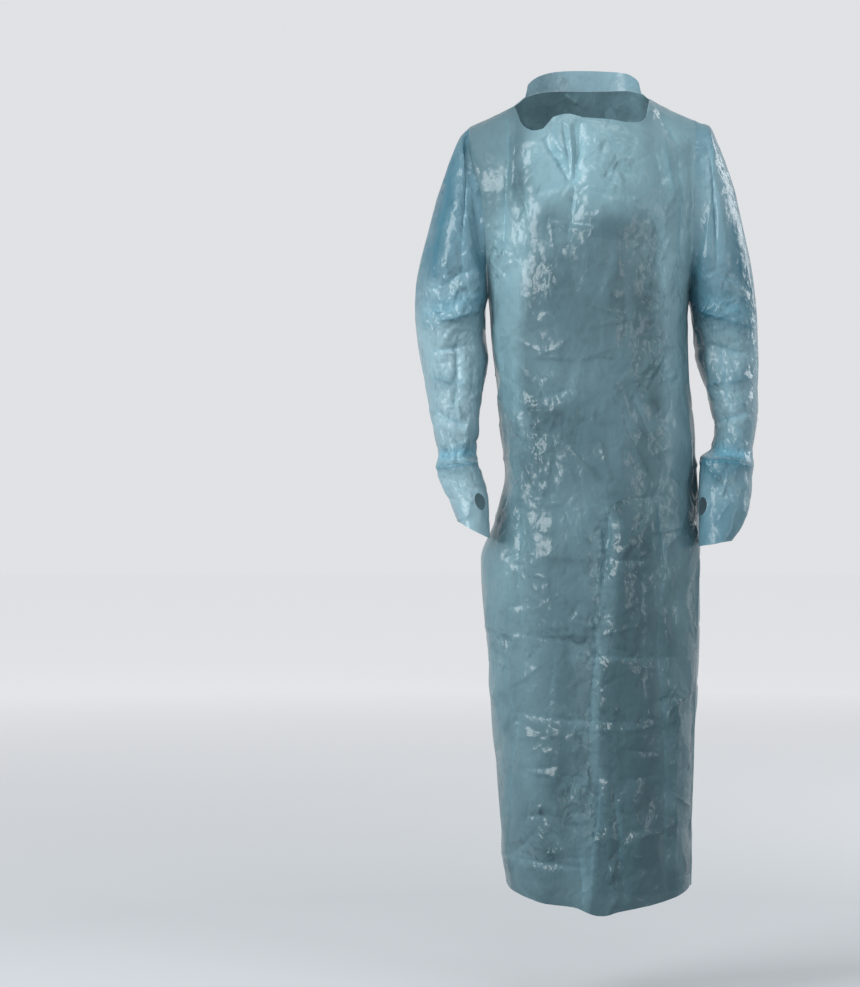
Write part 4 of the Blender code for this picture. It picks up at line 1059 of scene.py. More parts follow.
def cut_thumb_hole(grid, at, hole):
    """Mark the points inside the thumb hole and draw its edge round."""
    ring, corner = hole
    row = int(np.argmin(np.abs(at - ring)))
    column = round(corner * SLEEVE_COLUMNS / 24)
    middle = grid[row, column]
    down = grid[row + 4, column] - grid[row - 4, column]
    down /= np.linalg.norm(down)
    round_arm = grid[row, column + 4] - grid[row, column - 4]
    round_arm -= down * round_arm.dot(down)
    round_arm /= np.linalg.norm(round_arm)
    a = (grid - middle) @ round_arm / HOLE_HALF_WIDTH
    b = (grid - middle) @ down / HOLE_HALF_LENGTH
    near = np.linalg.norm(grid - middle, axis=-1) < 30
    away = np.hypot(a, b)
    gone = near & (away < 0.9)
    rim = near & ~gone & (away < 1.12)
    scale = np.where(rim, 1 / np.maximum(away, 0.01), 1.0) - 1
    grid += (a * HOLE_HALF_WIDTH * scale)[..., None] * round_arm
    grid += (b * HOLE_HALF_LENGTH * scale)[..., None] * down
    return gone


def mirrored(creases, side):
    if side > 0:
        return list(creases)
    return [c._replace(x0=-c.x0, x1=-c.x1) for c in creases]


SLEEVE_X = 205
LIGHT_CREASES_A_FACE = 80
ARMHOLE_FADE = 8
NEAR_BODY_FROM = -470
CALM_NEAR_BODY = 0.85


def sleeve_creases(side, creases, patches, seed, strewn_seed):
    """All creases of one face of a sleeve: by hand, in the patches, and strewn over the rest."""
    light = strewn(side * SLEEVE_X, -330, 60, 330, LIGHT_CREASES_A_FACE, strewn_seed)
    return bolder(creases, SLEEVE_BOLDNESS) + crinkles(patches, 15, seed) + light


def make_sleeve(name, side, rows, front_creases, hole, seed):
    grid, at = sleeve_grid(side, rows)
    gone = cut_thumb_hole(grid, at, hole)
    patches = [p._replace(x=side * p.x) for p in SLEEVE_PATCHES]
    normals = -side * normals_of(grid, closed=True)
    # the creases of the front and of the back, each where the sleeve faces that way
    height = blue = line = 0.0
    faces = (
        (-1, sleeve_creases(side, front_creases, patches, seed, seed + 3), seed),
        (1, sleeve_creases(side, mirrored(SLEEVE_BACK, side), patches, seed + 7, seed + 4), seed + 1),
    )
    for facing, creases, field_seed in faces:
        share = np.clip(0.5 + facing * normals[..., 1] * 1.6, 0, 1)
        face_height, face_blue, face_line = crease_field(grid, creases, field_seed)
        height = height + face_height * share
        blue = np.maximum(blue, face_blue * share)
        line = line + face_line * share
    amount = np.clip(patch_field(grid, patches), 0, MOST_CRINKLED)
    rise = height + crumple(grid, amount + 0.2, seed)
    # calm where the sleeve lies against the body, and nearer to it lower down
    inner = np.clip((-side * normals[..., 0] - 0.2) / 0.5, 0, 1)
    near_body = inner * np.clip((grid[..., 2] - NEAR_BODY_FROM) / 60, 0, 1)
    rise *= 1 - CALM_NEAR_BODY * near_body
    soft = sleeve_folds(grid, SLEEVE_COLUMNS)
    nearer = lookup(NEARER, "z", "sleeve_right" if side < 0 else "sleeve_left", grid[..., 2])
    rise = rise + soft + inner * nearer
    rise *= np.clip(down_the_grid(grid) / ARMHOLE_FADE, 0, 1)
    grid = grid + normals * rise[..., None]
    # painted light on the ridges and painted shade in the troughs of the sleeve's creases and folds
    crease_shade = SLEEVE_CREASE_SHADE * (height + soft)
    parts = grid, np.clip(blue, 0, 1), crinkled_more(amount, line), gone, crease_shade
    if side > 0:
        parts = tuple(part[:, ::-1] for part in parts)
    grid, blue, amount, gone, crease_shade = parts
    return make_sheet(name, grid, blue, amount, True, gone, crease_shade)


right_sleeve = make_sleeve(
    "sleeve_right_film", -1, RIGHT_SLEEVE, RIGHT_SLEEVE_FRONT, THUMB_HOLES["right"], 51
)
left_sleeve = make_sleeve(
    "sleeve_left_film", 1, LEFT_SLEEVE, LEFT_SLEEVE_FRONT, THUMB_HOLES["left"], 61
)

# %% [markdown]
# ## The tie
#
# The back halves end in a tie. Two broad ends hang down from the knot, pleated where they come out
# of it, and two doubled strips stick out up and down. Each is a grid between edges from a short
# table, laid on the back at a small distance, so the ends follow the curve of the hips.

# %% The tie ends
# Tie ends: rows from the knot outwards, with the two edges and the distance from the back
TailRow = namedtuple("TailRow", "z left right lift")
TAIL_LEFT = table(
    TailRow,
    (-493.2, 8, 0.8, 9), (-512, 30, 4, 11), (-530, 52, 7, 11), (-549, 80, 10, 10),
    (-566, 102, 12, 9), (-590, 92, 15, 9), (-620, 78, 9, 9), (-650, 62, -6, 9), (-680, 48, -22, 10),
    (-706, 39, -36, 10), (-737, 30, -44, 11), (-764, 21, -50, 11), (-792, 15, -40, 10),
    (-818, 8, -26, 9), (-845, 0, -6, 8),
)
TAIL_RIGHT = table(
    TailRow,
    (-493.3, -1, -7, 8.5), (-518, -5, -34, 8), (-546, -8, -64, 8), (-574, -20, -91, 7),
    (-596, -35, -78, 7), (-619, -33, -64, 7), (-643, -25, -62, 7), (-672, -40, -70, 7),
    (-704, -58, -79, 7), (-730, -80, -87, 7),
)

# The two bright doubled ends: rows along their own middle line
StripRow = namedtuple("StripRow", "x z width lift")
TAIL_UPPER = table(
    StripRow,
    (3.9, -462.4, 8, 8), (20, -447, 15, 16), (36, -429, 20, 19), (52, -411, 22, 19),
    (66, -396, 21, 18),
)
TAIL_LOWER = table(
    StripRow,
    (-9.1, -488.0, 8, 11.5), (-26, -505, 16, 18), (-46, -521, 19, 19), (-64, -536, 18, 18),
    (-79, -549, 13, 17),
)
TAIL_WAVE = 2.0
TAIL_WAVE_WIDTH = 60
STRIP_BULGE = 4
STRIP_FULL_WIDTH = 22


def on_back(x, z, lift):
    """Points that stand out from the back by a distance."""
    return stacked(x, depth_at(x, z, 1) + lift, z)


def broad_tail_grid(rows, columns):
    """A broad tie end between its two edges, gathered into pleats at the knot."""
    stations = np.arange(len(rows))
    steps = [(a.z - b.z, (a.left + a.right - b.left - b.right) / 2) for a, b in zip(rows, rows[1:])]
    length = sum(math.hypot(*step) for step in steps)
    at = np.linspace(0, len(rows) - 1, round(length / 1.7))[:, None]
    z = smooth_curve(stations, [row.z for row in rows], at)
    left = smooth_curve(stations, [row.left for row in rows], at)
    right = smooth_curve(stations, [row.right for row in rows], at)
    lift = smooth_curve(stations, [row.lift for row in rows], at)
    share = np.linspace(0, 1, columns + 1)
    grid = on_back(left + (right - left) * share, z, lift)
    wave = TAIL_WAVE * np.minimum(1.0, (left - right) / TAIL_WAVE_WIDTH)
    grid[..., 1] += wave * np.cos(2 * math.pi * share)
    pleat = 1.6 * np.exp(-((rows[0].z - z) / 46) ** 2) * np.clip((left - right) / 14, 0, 1)
    grid[..., 1] += pleat * np.cos(2 * math.pi * 4.5 * share + 0.8)
    return grid


def strip_tail_grid(rows, columns):
    """A doubled tie end along its own middle line, rolled up across its width."""
    stations = np.arange(len(rows))
    at = np.linspace(0, len(rows) - 1, 60)
    x = smooth_curve(stations, [row.x for row in rows], at)
    z = smooth_curve(stations, [row.z for row in rows], at)
    width = smooth_curve(stations, [row.width for row in rows], at)[:, None]
    lift = smooth_curve(stations, [row.lift for row in rows], at)
    along = np.stack([np.gradient(x), np.gradient(z)], axis=-1)
    along /= np.linalg.norm(along, axis=-1, keepdims=True)
    side = stacked(along[:, 1], 0 * x, -along[:, 0])
    share = np.linspace(-1, 1, columns + 1)
    middle = on_back(x, z, lift)
    grid = middle[:, None] + side[:, None] * (share * width / 2)[..., None]
    grid[..., 1] += STRIP_BULGE * (1 - share**2) * width / STRIP_FULL_WIDTH
    grid[..., 1] += 1.3 * np.cos(3.5 * math.pi * share + 0.6) * np.minimum(1, width / 18)
    return grid


def make_tail(name, grid, seed, doubled, rough):
    normals = normals_of(grid)
    from_knot = np.arange(grid.shape[0])[:, None] * np.ones(grid.shape[1])
    rise = crumple(grid, 0.6, seed) * rough * np.clip(from_knot / 18, 0, 1)
    grid = grid + normals * rise[..., None]
    # four times the facets' heights give the tail's painted light and shade
    return make_sheet(name, grid, doubled, 0.5, rise=4 * rise)


tail_left = make_tail("tie_left_film", broad_tail_grid(TAIL_LEFT, 44), 71, 0.15, 1.7)
tail_right = make_tail("tie_right_film", broad_tail_grid(TAIL_RIGHT, 34), 75, 0.15, 1.6)
tail_upper = make_tail("tie_upper_film", strip_tail_grid(TAIL_UPPER, 18), 81, 0.95, 0.3)
tail_lower = make_tail("tie_lower_film", strip_tail_grid(TAIL_LOWER, 18), 85, 0.85, 0.3)

# %% [markdown]
# ## The knot
#
# Film pulled into a knot is a lump with a band wrapped round it. A sphere gives the lump and a torus
# the band. Both get pleats along the way the film runs, from a few sine waves.

# %% The knot
KNOT_Z = -477
KNOT_X = -1
KNOT_HALF_WIDTH = 10
KNOT_HALF_DEPTH = 10
KNOT_HALF_HEIGHT = 16
KNOT_LIFT = -0.4


def knot_middle():
    back_y = float(depth_at(np.array(float(KNOT_X)), np.array(float(KNOT_Z)), 1))
    y = back_y + KNOT_LIFT + KNOT_HALF_DEPTH
    return Vector((KNOT_X, y, KNOT_Z)) * MM


def make_knot():
    """A pleated lump, with the band of film that is wrapped over it."""
    bpy.ops.object.select_all(action="DESELECT")
    bpy.ops.mesh.primitive_uv_sphere_add(segments=72, ring_count=48, radius=1, location=(0, 0, 0))
    lump = bpy.context.object
    for vert in lump.data.vertices:
        turn = math.atan2(vert.co.x, vert.co.z + 0.25 * vert.co.x)
        off = (vert.co.z + 0.35 * vert.co.x) / 0.22
        squeeze = 1 - 0.16 * math.exp(-off * off)
        pleat = 1 + 0.07 * math.cos(11 * turn + 3 * vert.co.y) * math.sqrt(max(0.0, 1 - vert.co.y**2))
        vert.co = Vector((
            vert.co.x * KNOT_HALF_WIDTH * squeeze * pleat * MM,
            vert.co.y * KNOT_HALF_DEPTH * squeeze * MM,
            vert.co.z * KNOT_HALF_HEIGHT * pleat * MM,
        ))
    bpy.ops.mesh.primitive_torus_add(
        major_segments=80, minor_segments=24, major_radius=1, minor_radius=0.3
    )
    wrap = bpy.context.object
    for vert in wrap.data.vertices:
        around = math.atan2(vert.co.y, vert.co.x)
        reach = math.hypot(vert.co.x, vert.co.y)
        across = vert.co.z / 0.3
        fold = 1 + 0.05 * math.cos(3 * math.pi * across + 2 * around)
        out = (reach - 1) * 4.2 + 9.4 * fold
        aside = across * 6.5 + 0.35 * out * math.sin(around)
        vert.co = Vector((aside, out * math.cos(around), 1.15 * out * math.sin(around))) * MM
    bpy.ops.object.select_all(action="DESELECT")
    lump.select_set(True)
    wrap.select_set(True)
    bpy.context.view_layer.objects.active = lump
    bpy.ops.object.join()
    for vert in lump.data.vertices:
        vert.co += knot_middle()
    lump.name = "tie_knot_film"
    lump.data.name = "tie_knot_film"
    bpy.ops.object.mode_set(mode="EDIT")
    bpy.ops.mesh.select_all(action="SELECT")
    bpy.ops.mesh.normals_make_consistent(inside=False)
    bpy.ops.object.mode_set(mode="OBJECT")
    bpy.ops.object.shade_smooth()
    for label, value in (("doubled", 1.0), ("crinkled", 0.3)):
        layer = lump.data.attributes.new(label, "FLOAT", "POINT")
        layer.data.foreach_set("value", [value] * len(lump.data.vertices))
    lump.select_set(False)
    return lump


knot = make_knot()
print("knot", len(knot.data.polygons), "faces")

# %% [markdown]
# ## The film
#
# Gown film is blown polyethylene, 0.04 mm thick, tinted blue and embossed with a fine grain. Its
# colour goes from a light to a deep tone, by four numbers that each sheet carries at its points:
# one for the painted shade of the hollow inside and of places that the lamps light less, one for
# painted light on ridges and painted shade in troughs, `doubled`, where the film lies on itself,
# and `crinkled`, where creases whiten it, partly by stress whitening and partly as painted glint
# lines. The shine comes from bump maps: flat facets in two sizes, thin ridges in two directions
# and the grain of the embossing.
# A little light goes straight through, and a little comes out on the other side.

# %% Colours and the film's material


def srgb(hex_colour):
    """Turn an sRGB hex value into the linear colour that Blender's nodes take."""
    parts = [int(hex_colour[k : k + 2], 16) / 255 for k in (1, 3, 5)]
    linear = [v / 12.92 if v <= 0.04045 else ((v + 0.055) / 1.055) ** 2.4 for v in parts]
    return (*linear, 1.0)


def add_node(tree, kind, settings, inputs, out=0):
    """Add one node and return an output. Its inputs, by name or in order, take values or outputs."""
    node = tree.nodes.new(kind)
    for name, value in settings.items():
        setattr(node, name, value)
    for name, value in inputs.items() if isinstance(inputs, dict) else enumerate(inputs):
        if isinstance(value, bpy.types.NodeSocket):
            tree.links.new(value, node.inputs[name])
        else:
            node.inputs[name].default_value = value
    return node.outputs[out] if node.outputs else node


def a_metre(size_mm):
    """How many of a size in millimetres fit in a metre, which is what a pattern's scale counts."""
    return float(round(1000 / size_mm))


# Real sizes of the film's patterns. The grain of the embossing is finer than 1 mm on the real film,
# and is drawn as coarse as it needs to show.
BIG_FACET_MM = 27.8
SMALL_FACET_MM = 6.67
RIDGE_MM = 12.8
CROSSING_RIDGE_MM = 10
GRAIN_MM = 2.38
CLOUD_MM = 71
STREAK_MM = 3.33
BEND_MM = 33
RIDGE_STRETCH = 3.4
# Colour of stress-whitened crease lines, which also serve as painted glints
WHITENING_AND_GLINT_COLOUR = "#a9c6cf"

# A Mix node for colours has its factor and both colours at these inputs, and one output for colours
FACTOR, FIRST, SECOND, MIXED = 0, 6, 7, 2


def flat_facets(tree, place, size_mm):
    """Heights of flat facets, each tilted its own way."""
    pattern = {"Vector": place, "Scale": a_metre(size_mm)}
    cell = add_node(tree, "ShaderNodeTexVoronoi", {}, pattern).node.outputs
    minus = {"operation": "SUBTRACT"}
    off = add_node(tree, "ShaderNodeVectorMath", minus, (place, cell["Position"]))
    tilt = add_node(tree, "ShaderNodeVectorMath", minus, (cell["Color"], (0.5, 0.5, 0.5)))
    return add_node(tree, "ShaderNodeVectorMath", {"operation": "DOT_PRODUCT"}, (off, tilt), "Value")


def long_ridges(tree, place, lean, size_mm):
    """Thin ridges that run along a line leaning from the vertical, a few times longer than wide."""
    leaning = add_node(
        tree, "ShaderNodeMapping", {"vector_type": "TEXTURE"},
        {"Vector": place, "Rotation": (0, lean, 0), "Scale": (1, 1, RIDGE_STRETCH)},
    )
    pattern = {"Vector": leaning, "Scale": a_metre(size_mm)}
    return add_node(
        tree, "ShaderNodeTexNoise", {"noise_type": "RIDGED_MULTIFRACTAL", "normalize": True},
        {**pattern, "Detail": 2.0, "Roughness": 0.5, "Lacunarity": 2.3}, "Fac",
    )


def film_colour(tree, place, stored, streak, ridges, deep, light, doubled):
    """Cloudy, a little streaky from the blowing, with painted shade mixed in, bluer where doubled, and
    whiter along small creases, partly stress whitening and partly painted glint lines.
    """
    pattern = {"Vector": place, "Scale": a_metre(CLOUD_MM), "Detail": 4.0, "Roughness": 0.6}
    cloud = add_node(tree, "ShaderNodeTexNoise", {}, pattern)
    cloudy = add_node(tree, "ShaderNodeMapRange", {}, (cloud, 0.32, 0.68, -0.06, 0.06))
    minus = {"operation": "SUBTRACT"}
    # painted shade of the hollow and of places the lamps light less, lessened on crease ridges and
    # deepened in troughs, with random clouds
    painted_shade_share = add_node(tree, "ShaderNodeMath", minus, (stored["deep"], stored["crease_shade"]))
    tone = add_node(tree, "ShaderNodeMath", {**minus, "use_clamp": True}, (painted_shade_share, cloudy))
    mix = {"data_type": "RGBA", "blend_type": "MIX"}
    tones = {FACTOR: tone, FIRST: srgb(light), SECOND: srgb(deep)}
    tinted = add_node(tree, "ShaderNodeMix", mix, tones, MIXED)
    faint = add_node(tree, "ShaderNodeMapRange", {}, (streak, 0.3, 0.7, 0.98, 1.02))
    streaky = add_node(
        tree, "ShaderNodeMix", {"data_type": "RGBA", "blend_type": "MULTIPLY"},
        {FACTOR: 1.0, FIRST: tinted, SECOND: faint}, MIXED,
    )
    tones = {FACTOR: stored["doubled"], FIRST: streaky, SECOND: srgb(doubled)}
    bluer = add_node(tree, "ShaderNodeMix", mix, tones, MIXED)
    # stress whitening along fine ridges where the film is crinkled, partly painted glint lines
    line = add_node(tree, "ShaderNodeMapRange", {}, (ridges, 0.66, 0.95, 0.0, 0.34))
    here = add_node(tree, "ShaderNodeMapRange", {}, (stored["crinkled"], 0.0, 1.0, 0.28, 1.0))
    times = {"operation": "MULTIPLY", "use_clamp": True}
    whitening_and_glint = add_node(tree, "ShaderNodeMath", times, (here, line))
    tones = {FACTOR: whitening_and_glint, FIRST: bluer, SECOND: srgb(WHITENING_AND_GLINT_COLOUR)}
    return add_node(tree, "ShaderNodeMix", mix, tones, MIXED)


def embossed_polyethylene(name, deep, light, doubled, see_through):
    """Blown polyethylene film, embossed and tinted: glossy, cloudy and a little see-through."""
    material = bpy.data.materials.new(name)
    material.use_nodes = True
    tree = material.node_tree
    tree.nodes.clear()
    place = add_node(tree, "ShaderNodeTexCoord", {}, {}, "Object")
    stored = {
        label: add_node(tree, "ShaderNodeAttribute", {"attribute_name": label}, {}, "Fac")
        for label in ("doubled", "crinkled", "deep", "crease_shade")
    }
    # bend the straight edges of the facets a little
    pattern = {"Vector": place, "Scale": a_metre(BEND_MM), "Detail": 2.0}
    bend = add_node(tree, "ShaderNodeTexNoise", {}, pattern, "Color")
    pushed = (bend, (0.03, 0.03, 0.03), place)
    bent = add_node(tree, "ShaderNodeVectorMath", {"operation": "MULTIPLY_ADD"}, pushed)
    tall = add_node(tree, "ShaderNodeMapping", {}, {"Vector": bent, "Scale": (1, 1, 0.45)})
    ridges = long_ridges(tree, bent, 0.45, RIDGE_MM)
    crossing = long_ridges(tree, bent, -0.8, CROSSING_RIDGE_MM)
    either = add_node(tree, "ShaderNodeMath", {"operation": "MAXIMUM"}, (ridges, crossing))
    scales = (a_metre(STREAK_MM), a_metre(STREAK_MM), a_metre(CLOUD_MM))
    along = add_node(tree, "ShaderNodeMapping", {}, {"Vector": place, "Scale": scales})
    pattern = {"Vector": along, "Scale": 1.0, "Detail": 2.0}
    streak = add_node(tree, "ShaderNodeTexNoise", {}, pattern, "Fac")
    pattern = {"Vector": place, "Scale": a_metre(GRAIN_MM), "Detail": 2.0, "Roughness": 0.6}
    grain = add_node(tree, "ShaderNodeTexNoise", {}, pattern)
    # the bumps: streaks, flat facets in two sizes, ridges in two directions, and the embossed grain
    small_strength = add_node(tree, "ShaderNodeMapRange", {}, (stored["crinkled"], 0.0, 1.0, 0.09, 0.5))
    reliefs = (
        (streak, 0.05, 0.0005),
        (flat_facets(tree, tall, BIG_FACET_MM), 0.33, 1.0),
        (flat_facets(tree, tall, SMALL_FACET_MM), small_strength, 1.0),
        (ridges, small_strength, 0.005),
        (crossing, small_strength, 0.0035),
        (grain, 0.15, 0.0006),
    )
    below = {}
    for height, strength, distance in reliefs:
        inputs = {"Height": height, "Strength": strength, "Distance": distance, **below}
        below = {"Normal": add_node(tree, "ShaderNodeBump", {}, inputs)}
    colour = film_colour(tree, place, stored, streak, either, deep, light, doubled)
    film = add_node(
        tree, "ShaderNodeBsdfPrincipled", {},
        {"Base Color": colour, "Roughness": 0.24, "IOR": 1.51, "Specular IOR Level": 0.34, **below},
    )
    glow = add_node(tree, "ShaderNodeBsdfTranslucent", {}, {"Color": colour, **below})
    clear = add_node(tree, "ShaderNodeBsdfTransparent", {}, {"Color": srgb("#cfe4ea")})
    lit = add_node(tree, "ShaderNodeMixShader", {}, (0.12, film, glow))
    less_open = (stored["doubled"], 0.0, 1.0, see_through, 0.0)
    open_share = add_node(tree, "ShaderNodeMapRange", {}, less_open)
    shader = add_node(tree, "ShaderNodeMixShader", {}, (open_share, lit, clear))
    add_node(tree, "ShaderNodeOutputMaterial", {}, {"Surface": shader})
    return material


# Each film: its light tone, its painted shade tone, its bluer doubled tone, and how much light goes
# straight through
BODY_FILM = embossed_polyethylene("embossed_polyethylene_body", "#3c565e", "#7fa2ac", "#548b9b", 0.02)
SLEEVE_FILM = embossed_polyethylene("embossed_polyethylene_sleeve", "#376575", "#8aa8b2", "#4f96ae", 0.06)
TAIL_FILM = embossed_polyethylene("embossed_polyethylene_tail", "#3a6877", "#8db0bb", "#4a96ae", 0.04)
TIE_FILM = embossed_polyethylene("embossed_polyethylene_tie", "#2f6678", "#6396a7", "#3a8ba8", 0.03)

# %% [markdown]
# ## Each piece rides on the body
#
# Each sheet rides on the gown's one body and replaces its plain solid. Before that the sheet gets
# its values of painted shade: short tables say how much painted shade the film gets from the neck
# down to the hem and to the cuffs.

# %% Riding and replacing


# Store each point's share of painted shade, for the material to read
def store_painted_shade(sheet, values):
    layer = sheet.data.attributes.new("deep", "FLOAT", "POINT")
    layer.data.foreach_set("value", values)


# Painted shade on the body by height z: the inside amount between the x of right and left, over the
# hollow, and the beside amount outside it; darker towards the hem
PaintedShadeTone = namedtuple("PaintedShadeTone", "z right left inside beside")
PAINTED_SHADE_TONES = table(
    PaintedShadeTone,
    (0, -74, 74, 0.35, 0.5), (-60, -78, 76, 0.3, 0.45), (-140, -84, 84, 0.25, 0.45),
    (-176, -84, 84, 0.45, 0.5), (-214, -100, 100, 0.85, 0.45), (-300, -98, 92, 0.9, 0.35),
    (-420, -104, 104, 0.8, 0.35), (-520, -92, 104, 0.85, 0.55), (-640, -118, 116, 0.85, 0.65),
    (-900, -128, 122, 0.92, 0.75), (-1200, -124, 118, 1.0, 0.85),
)
# Painted shade of the right and the left sleeve by height z
SleeveShadeTone = namedtuple("SleeveShadeTone", "z right left")
SLEEVE_SHADE_TONES = table(
    SleeveShadeTone,
    (0, 0.95, 0.65), (-120, 1.0, 0.65), (-260, 0.9, 0.85), (-320, 0.55, 0.85), (-370, 0.2, 0.55),
    (-480, 0.2, 0.45), (-540, 0.5, 0.75), (-590, 0.2, 0.65), (-720, 0.3, 0.85),
)


def sheet_points(sheet):
    flat = np.empty(len(sheet.data.vertices) * 3)
    sheet.data.vertices.foreach_get("co", flat)
    return flat.reshape(-1, 3) / MM


def front_painted_shade(sheet):
    """Painted shade: deepest where the panel lies over the hollow, lighter beside it, stepped at the
    skirt's centre fold.
    """
    points = sheet_points(sheet)
    x, z = points[:, 0] + 9 * billow(points, 34, 7), points[:, 2] + 9 * billow(points, 30, 8)
    right, left = lookup(PAINTED_SHADE_TONES, "z", "right", z), lookup(PAINTED_SHADE_TONES, "z", "left", z)
    inside = np.clip((x - right) / 18 + 0.5, 0, 1) * np.clip((left - x) / 18 + 0.5, 0, 1)
    beside = lookup(PAINTED_SHADE_TONES, "z", "beside", z)
    # painted light on the wearer's right of the skirt's centre fold and painted shade on its left, and
    # painted shade over the wearer's right shoulder
    fold_x = 20 - 24 * (-600 - z) / 640
    past_fold = np.clip((points[:, 0] - fold_x + 3 * billow(points, 60, 9)) / 6 + 0.5, 0, 1) * 2 - 1
    step = 0.1 * past_fold * np.clip((-560 - z) / 60, 0, 1)
    right_shoulder = 0.35 * np.clip((-82 - x) / 22, 0, 1) * np.clip((z + 210) / 60, 0, 1)
    return beside + inside * (lookup(PAINTED_SHADE_TONES, "z", "inside", z) - beside) + step + right_shoulder


def sleeve_painted_shade(sheet, side):
    """Painted shade: deep blue from the shoulder down to the elbow, pale over the forearm and the cuff.
    """
    points = sheet_points(sheet)
    z = points[:, 2] + 14 * billow(points, 40, 9)
    return lookup(SLEEVE_SHADE_TONES, "z", side, z)


def back_painted_shade(sheet, low):
    """Painted shade of the hollow: more over the back halves below the waist, and less beside the seams.
    """
    points = sheet_points(sheet)
    z = points[:, 2] + 20 * billow(points, 60, 6)
    middle = 0.6 + (low - 0.6) * np.clip((-520 - z) / 160, 0, 1)
    beside = lookup(PAINTED_SHADE_TONES, "z", "beside", z)
    from_side = torso_half_width(z) - np.abs(points[:, 0] - torso_middle(z))
    return beside + (middle - beside) * np.clip((from_side - 6) / 55, 0, 1)


def yoke_painted_shade(sheet):
    """Painted shade over the yoke, with less of it on a band along the hem, where the film is turned up.
    """
    points = sheet_points(sheet)
    hem_z = lookup(YOKE_HEM, "across", "z", points[:, 0] / armhole_x(1, -230))
    return 0.62 - 0.5 * np.clip((hem_z + 13 - points[:, 2]) / 2, 0, 1)


# One even share of painted shade over a whole piece
def even_painted_shade(sheet, amount):
    return np.full(len(sheet.data.vertices), amount)


SLEEVES = ["sleeve_right", "sleeve_left"]
Piece = namedtuple("Piece", "sheet node slot material deep flat area held rests_on")
PIECES = table(
    Piece,
    (front, "front_panel", "film", BODY_FILM, front_painted_shade(front),
     (0.50, 1.20), 0.519, "hung", SLEEVES),
    (back_left, "back_half_left", "film", BODY_FILM, back_painted_shade(back_left, 0.8),
     (0.32, 0.91), 0.210, "hung", ["front_panel"]),
    (back_right, "back_half_right", "film", BODY_FILM, back_painted_shade(back_right, 1.0),
     (0.20, 0.91), 0.119, "hung", ["front_panel"]),
    (yoke, "back_yoke", "film", BODY_FILM, yoke_painted_shade(yoke),
     (0.36, 0.27), 0.085, "hung", SLEEVES),
    (band, "neck_band", "film", SLEEVE_FILM, even_painted_shade(band, 0.4),
     (0.23, 0.030), 0.0059, "hung", ["back_yoke"]),
    (right_sleeve, "sleeve_right", "film", SLEEVE_FILM, sleeve_painted_shade(right_sleeve, "right"),
     (0.32, 0.66), 0.175, "hung", ["front_panel"]),
    (left_sleeve, "sleeve_left", "film", SLEEVE_FILM, sleeve_painted_shade(left_sleeve, "left"),
     (0.32, 0.68), 0.188, "hung", ["front_panel"]),
    (tail_left, "tie_tail_left", "doubled_film", TAIL_FILM, even_painted_shade(tail_left, 0.5),
     (0.09, 0.38), 0.0228, "gathered", ["tie_knot"]),
    (tail_right, "tie_tail_right", "doubled_film", TAIL_FILM, even_painted_shade(tail_right, 0.5),
     (0.07, 0.26), 0.0107, "gathered", ["tie_knot"]),
    (tail_upper, "tie_tail_upper", "doubled_film", TIE_FILM, even_painted_shade(tail_upper, 0.5),
     (0.027, 0.086), 0.0023, "gathered", ["tie_knot"]),
    (tail_lower, "tie_tail_lower", "doubled_film", TIE_FILM, even_painted_shade(tail_lower, 0.5),
     (0.026, 0.085), 0.0022, "gathered", ["tie_knot"]),
)
for piece in PIECES:
    store_painted_shade(piece.sheet, piece.deep)
    piece.sheet.data.materials.append(piece.material)
    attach(piece.sheet, "root")
    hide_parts(piece.node)
store_painted_shade(knot, even_painted_shade(knot, 0.5))
knot.data.materials.append(TIE_FILM)
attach(knot, "root")
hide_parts("tie_knot")

# %% [markdown]
# ## The studio
#
# The photo is a cut-out on white, lit softly from the viewer's left. Here a wide floor of pale paper
# runs out to a white world, so no horizon shows: the paper has painted shade near the gown, where
# the lamps light it most, and painted light far away. A large soft key lamp stands to the left, a
# narrow strip and a lamp further round light the right side and the back, and one above the
# shoulders.

# %% Floor, lights and world
FLOOR_Z = -1360
FLOOR_RADIUS = 24
PAINTED_FLOOR_FROM, PAINTED_FLOOR_TO = 1.2, 7.0
LAMPS_AIM = Vector((0, 0, -0.6))


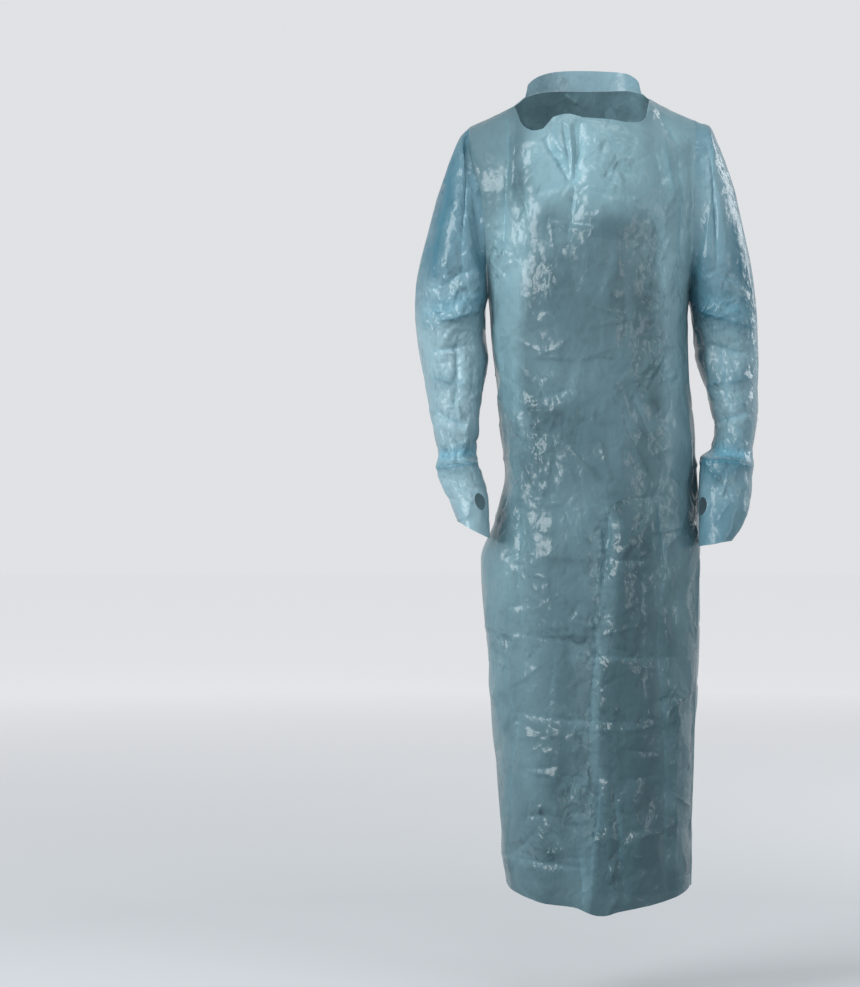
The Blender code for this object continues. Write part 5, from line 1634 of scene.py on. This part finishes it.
def make_backdrop():
    """A wide round floor of pale paper, with painted shade near the gown and painted light far away,
    where it merges with the world behind.
    """
    build = bmesh.new()
    bmesh.ops.create_circle(build, cap_ends=True, segments=96, radius=FLOOR_RADIUS)
    mesh = bpy.data.meshes.new("floor")
    build.to_mesh(mesh)
    build.free()
    floor = bpy.data.objects.new("floor", mesh)
    floor.location.z = FLOOR_Z * MM
    bpy.context.collection.objects.link(floor)
    paper = bpy.data.materials.new("matt_paper")
    paper.use_nodes = True
    tree = paper.node_tree
    shader = tree.nodes["Principled BSDF"]
    shader.inputs["Roughness"].default_value = 0.95
    shader.inputs["Specular IOR Level"].default_value = 0.0
    place = add_node(tree, "ShaderNodeTexCoord", {}, {}, "Object")
    away = add_node(tree, "ShaderNodeVectorMath", {"operation": "LENGTH"}, (place,), "Value")
    # painted shade near the gown, where the lamps light the floor most, fading out to painted light far
    # away
    far = add_node(tree, "ShaderNodeMapRange", {}, (away, PAINTED_FLOOR_FROM, PAINTED_FLOOR_TO, 0.0, 1.0))
    shade = {FACTOR: far, FIRST: srgb("#b4b8bb"), SECOND: srgb("#fdfdfe")}
    colour = add_node(tree, "ShaderNodeMix", {"data_type": "RGBA", "blend_type": "MIX"}, shade, MIXED)
    tree.links.new(colour, shader.inputs["Base Color"])
    mesh.materials.append(paper)


Light = namedtuple("Light", "name x y z wide tall power")
LIGHTS = [
    Light("key", -2.7, -1.9, 0.9, 1.9, 2.1, 120),
    Light("right_strip", 2.2, -2.2, -0.2, 0.25, 1.7, 12),
    Light("top", 0.1, -1.5, 2.0, 1.5, 0.5, 14),
    Light("behind", 3.0, 1.8, 0.9, 1.9, 2.1, 60),
]


def make_lights():
    for light in LIGHTS:
        data = bpy.data.lights.new(light.name, "AREA")
        data.shape = "RECTANGLE"
        data.size, data.size_y = light.wide, light.tall
        data.energy = light.power
        lamp = bpy.data.objects.new(light.name, data)
        bpy.context.collection.objects.link(lamp)
        lamp.location = (light.x, light.y, light.z)
        aim = LAMPS_AIM - lamp.location
        lamp.rotation_euler = aim.to_track_quat("-Z", "Y").to_euler()


def make_world():
    world = bpy.data.worlds.new("studio")
    bpy.context.scene.world = world
    world.use_nodes = True
    shader = world.node_tree.nodes["Background"]
    shader.inputs["Color"].default_value = srgb("#f7f9fc")
    shader.inputs["Strength"].default_value = 0.8


make_backdrop()
make_lights()
make_world()
bpy.context.scene.view_settings.view_transform = "Standard"
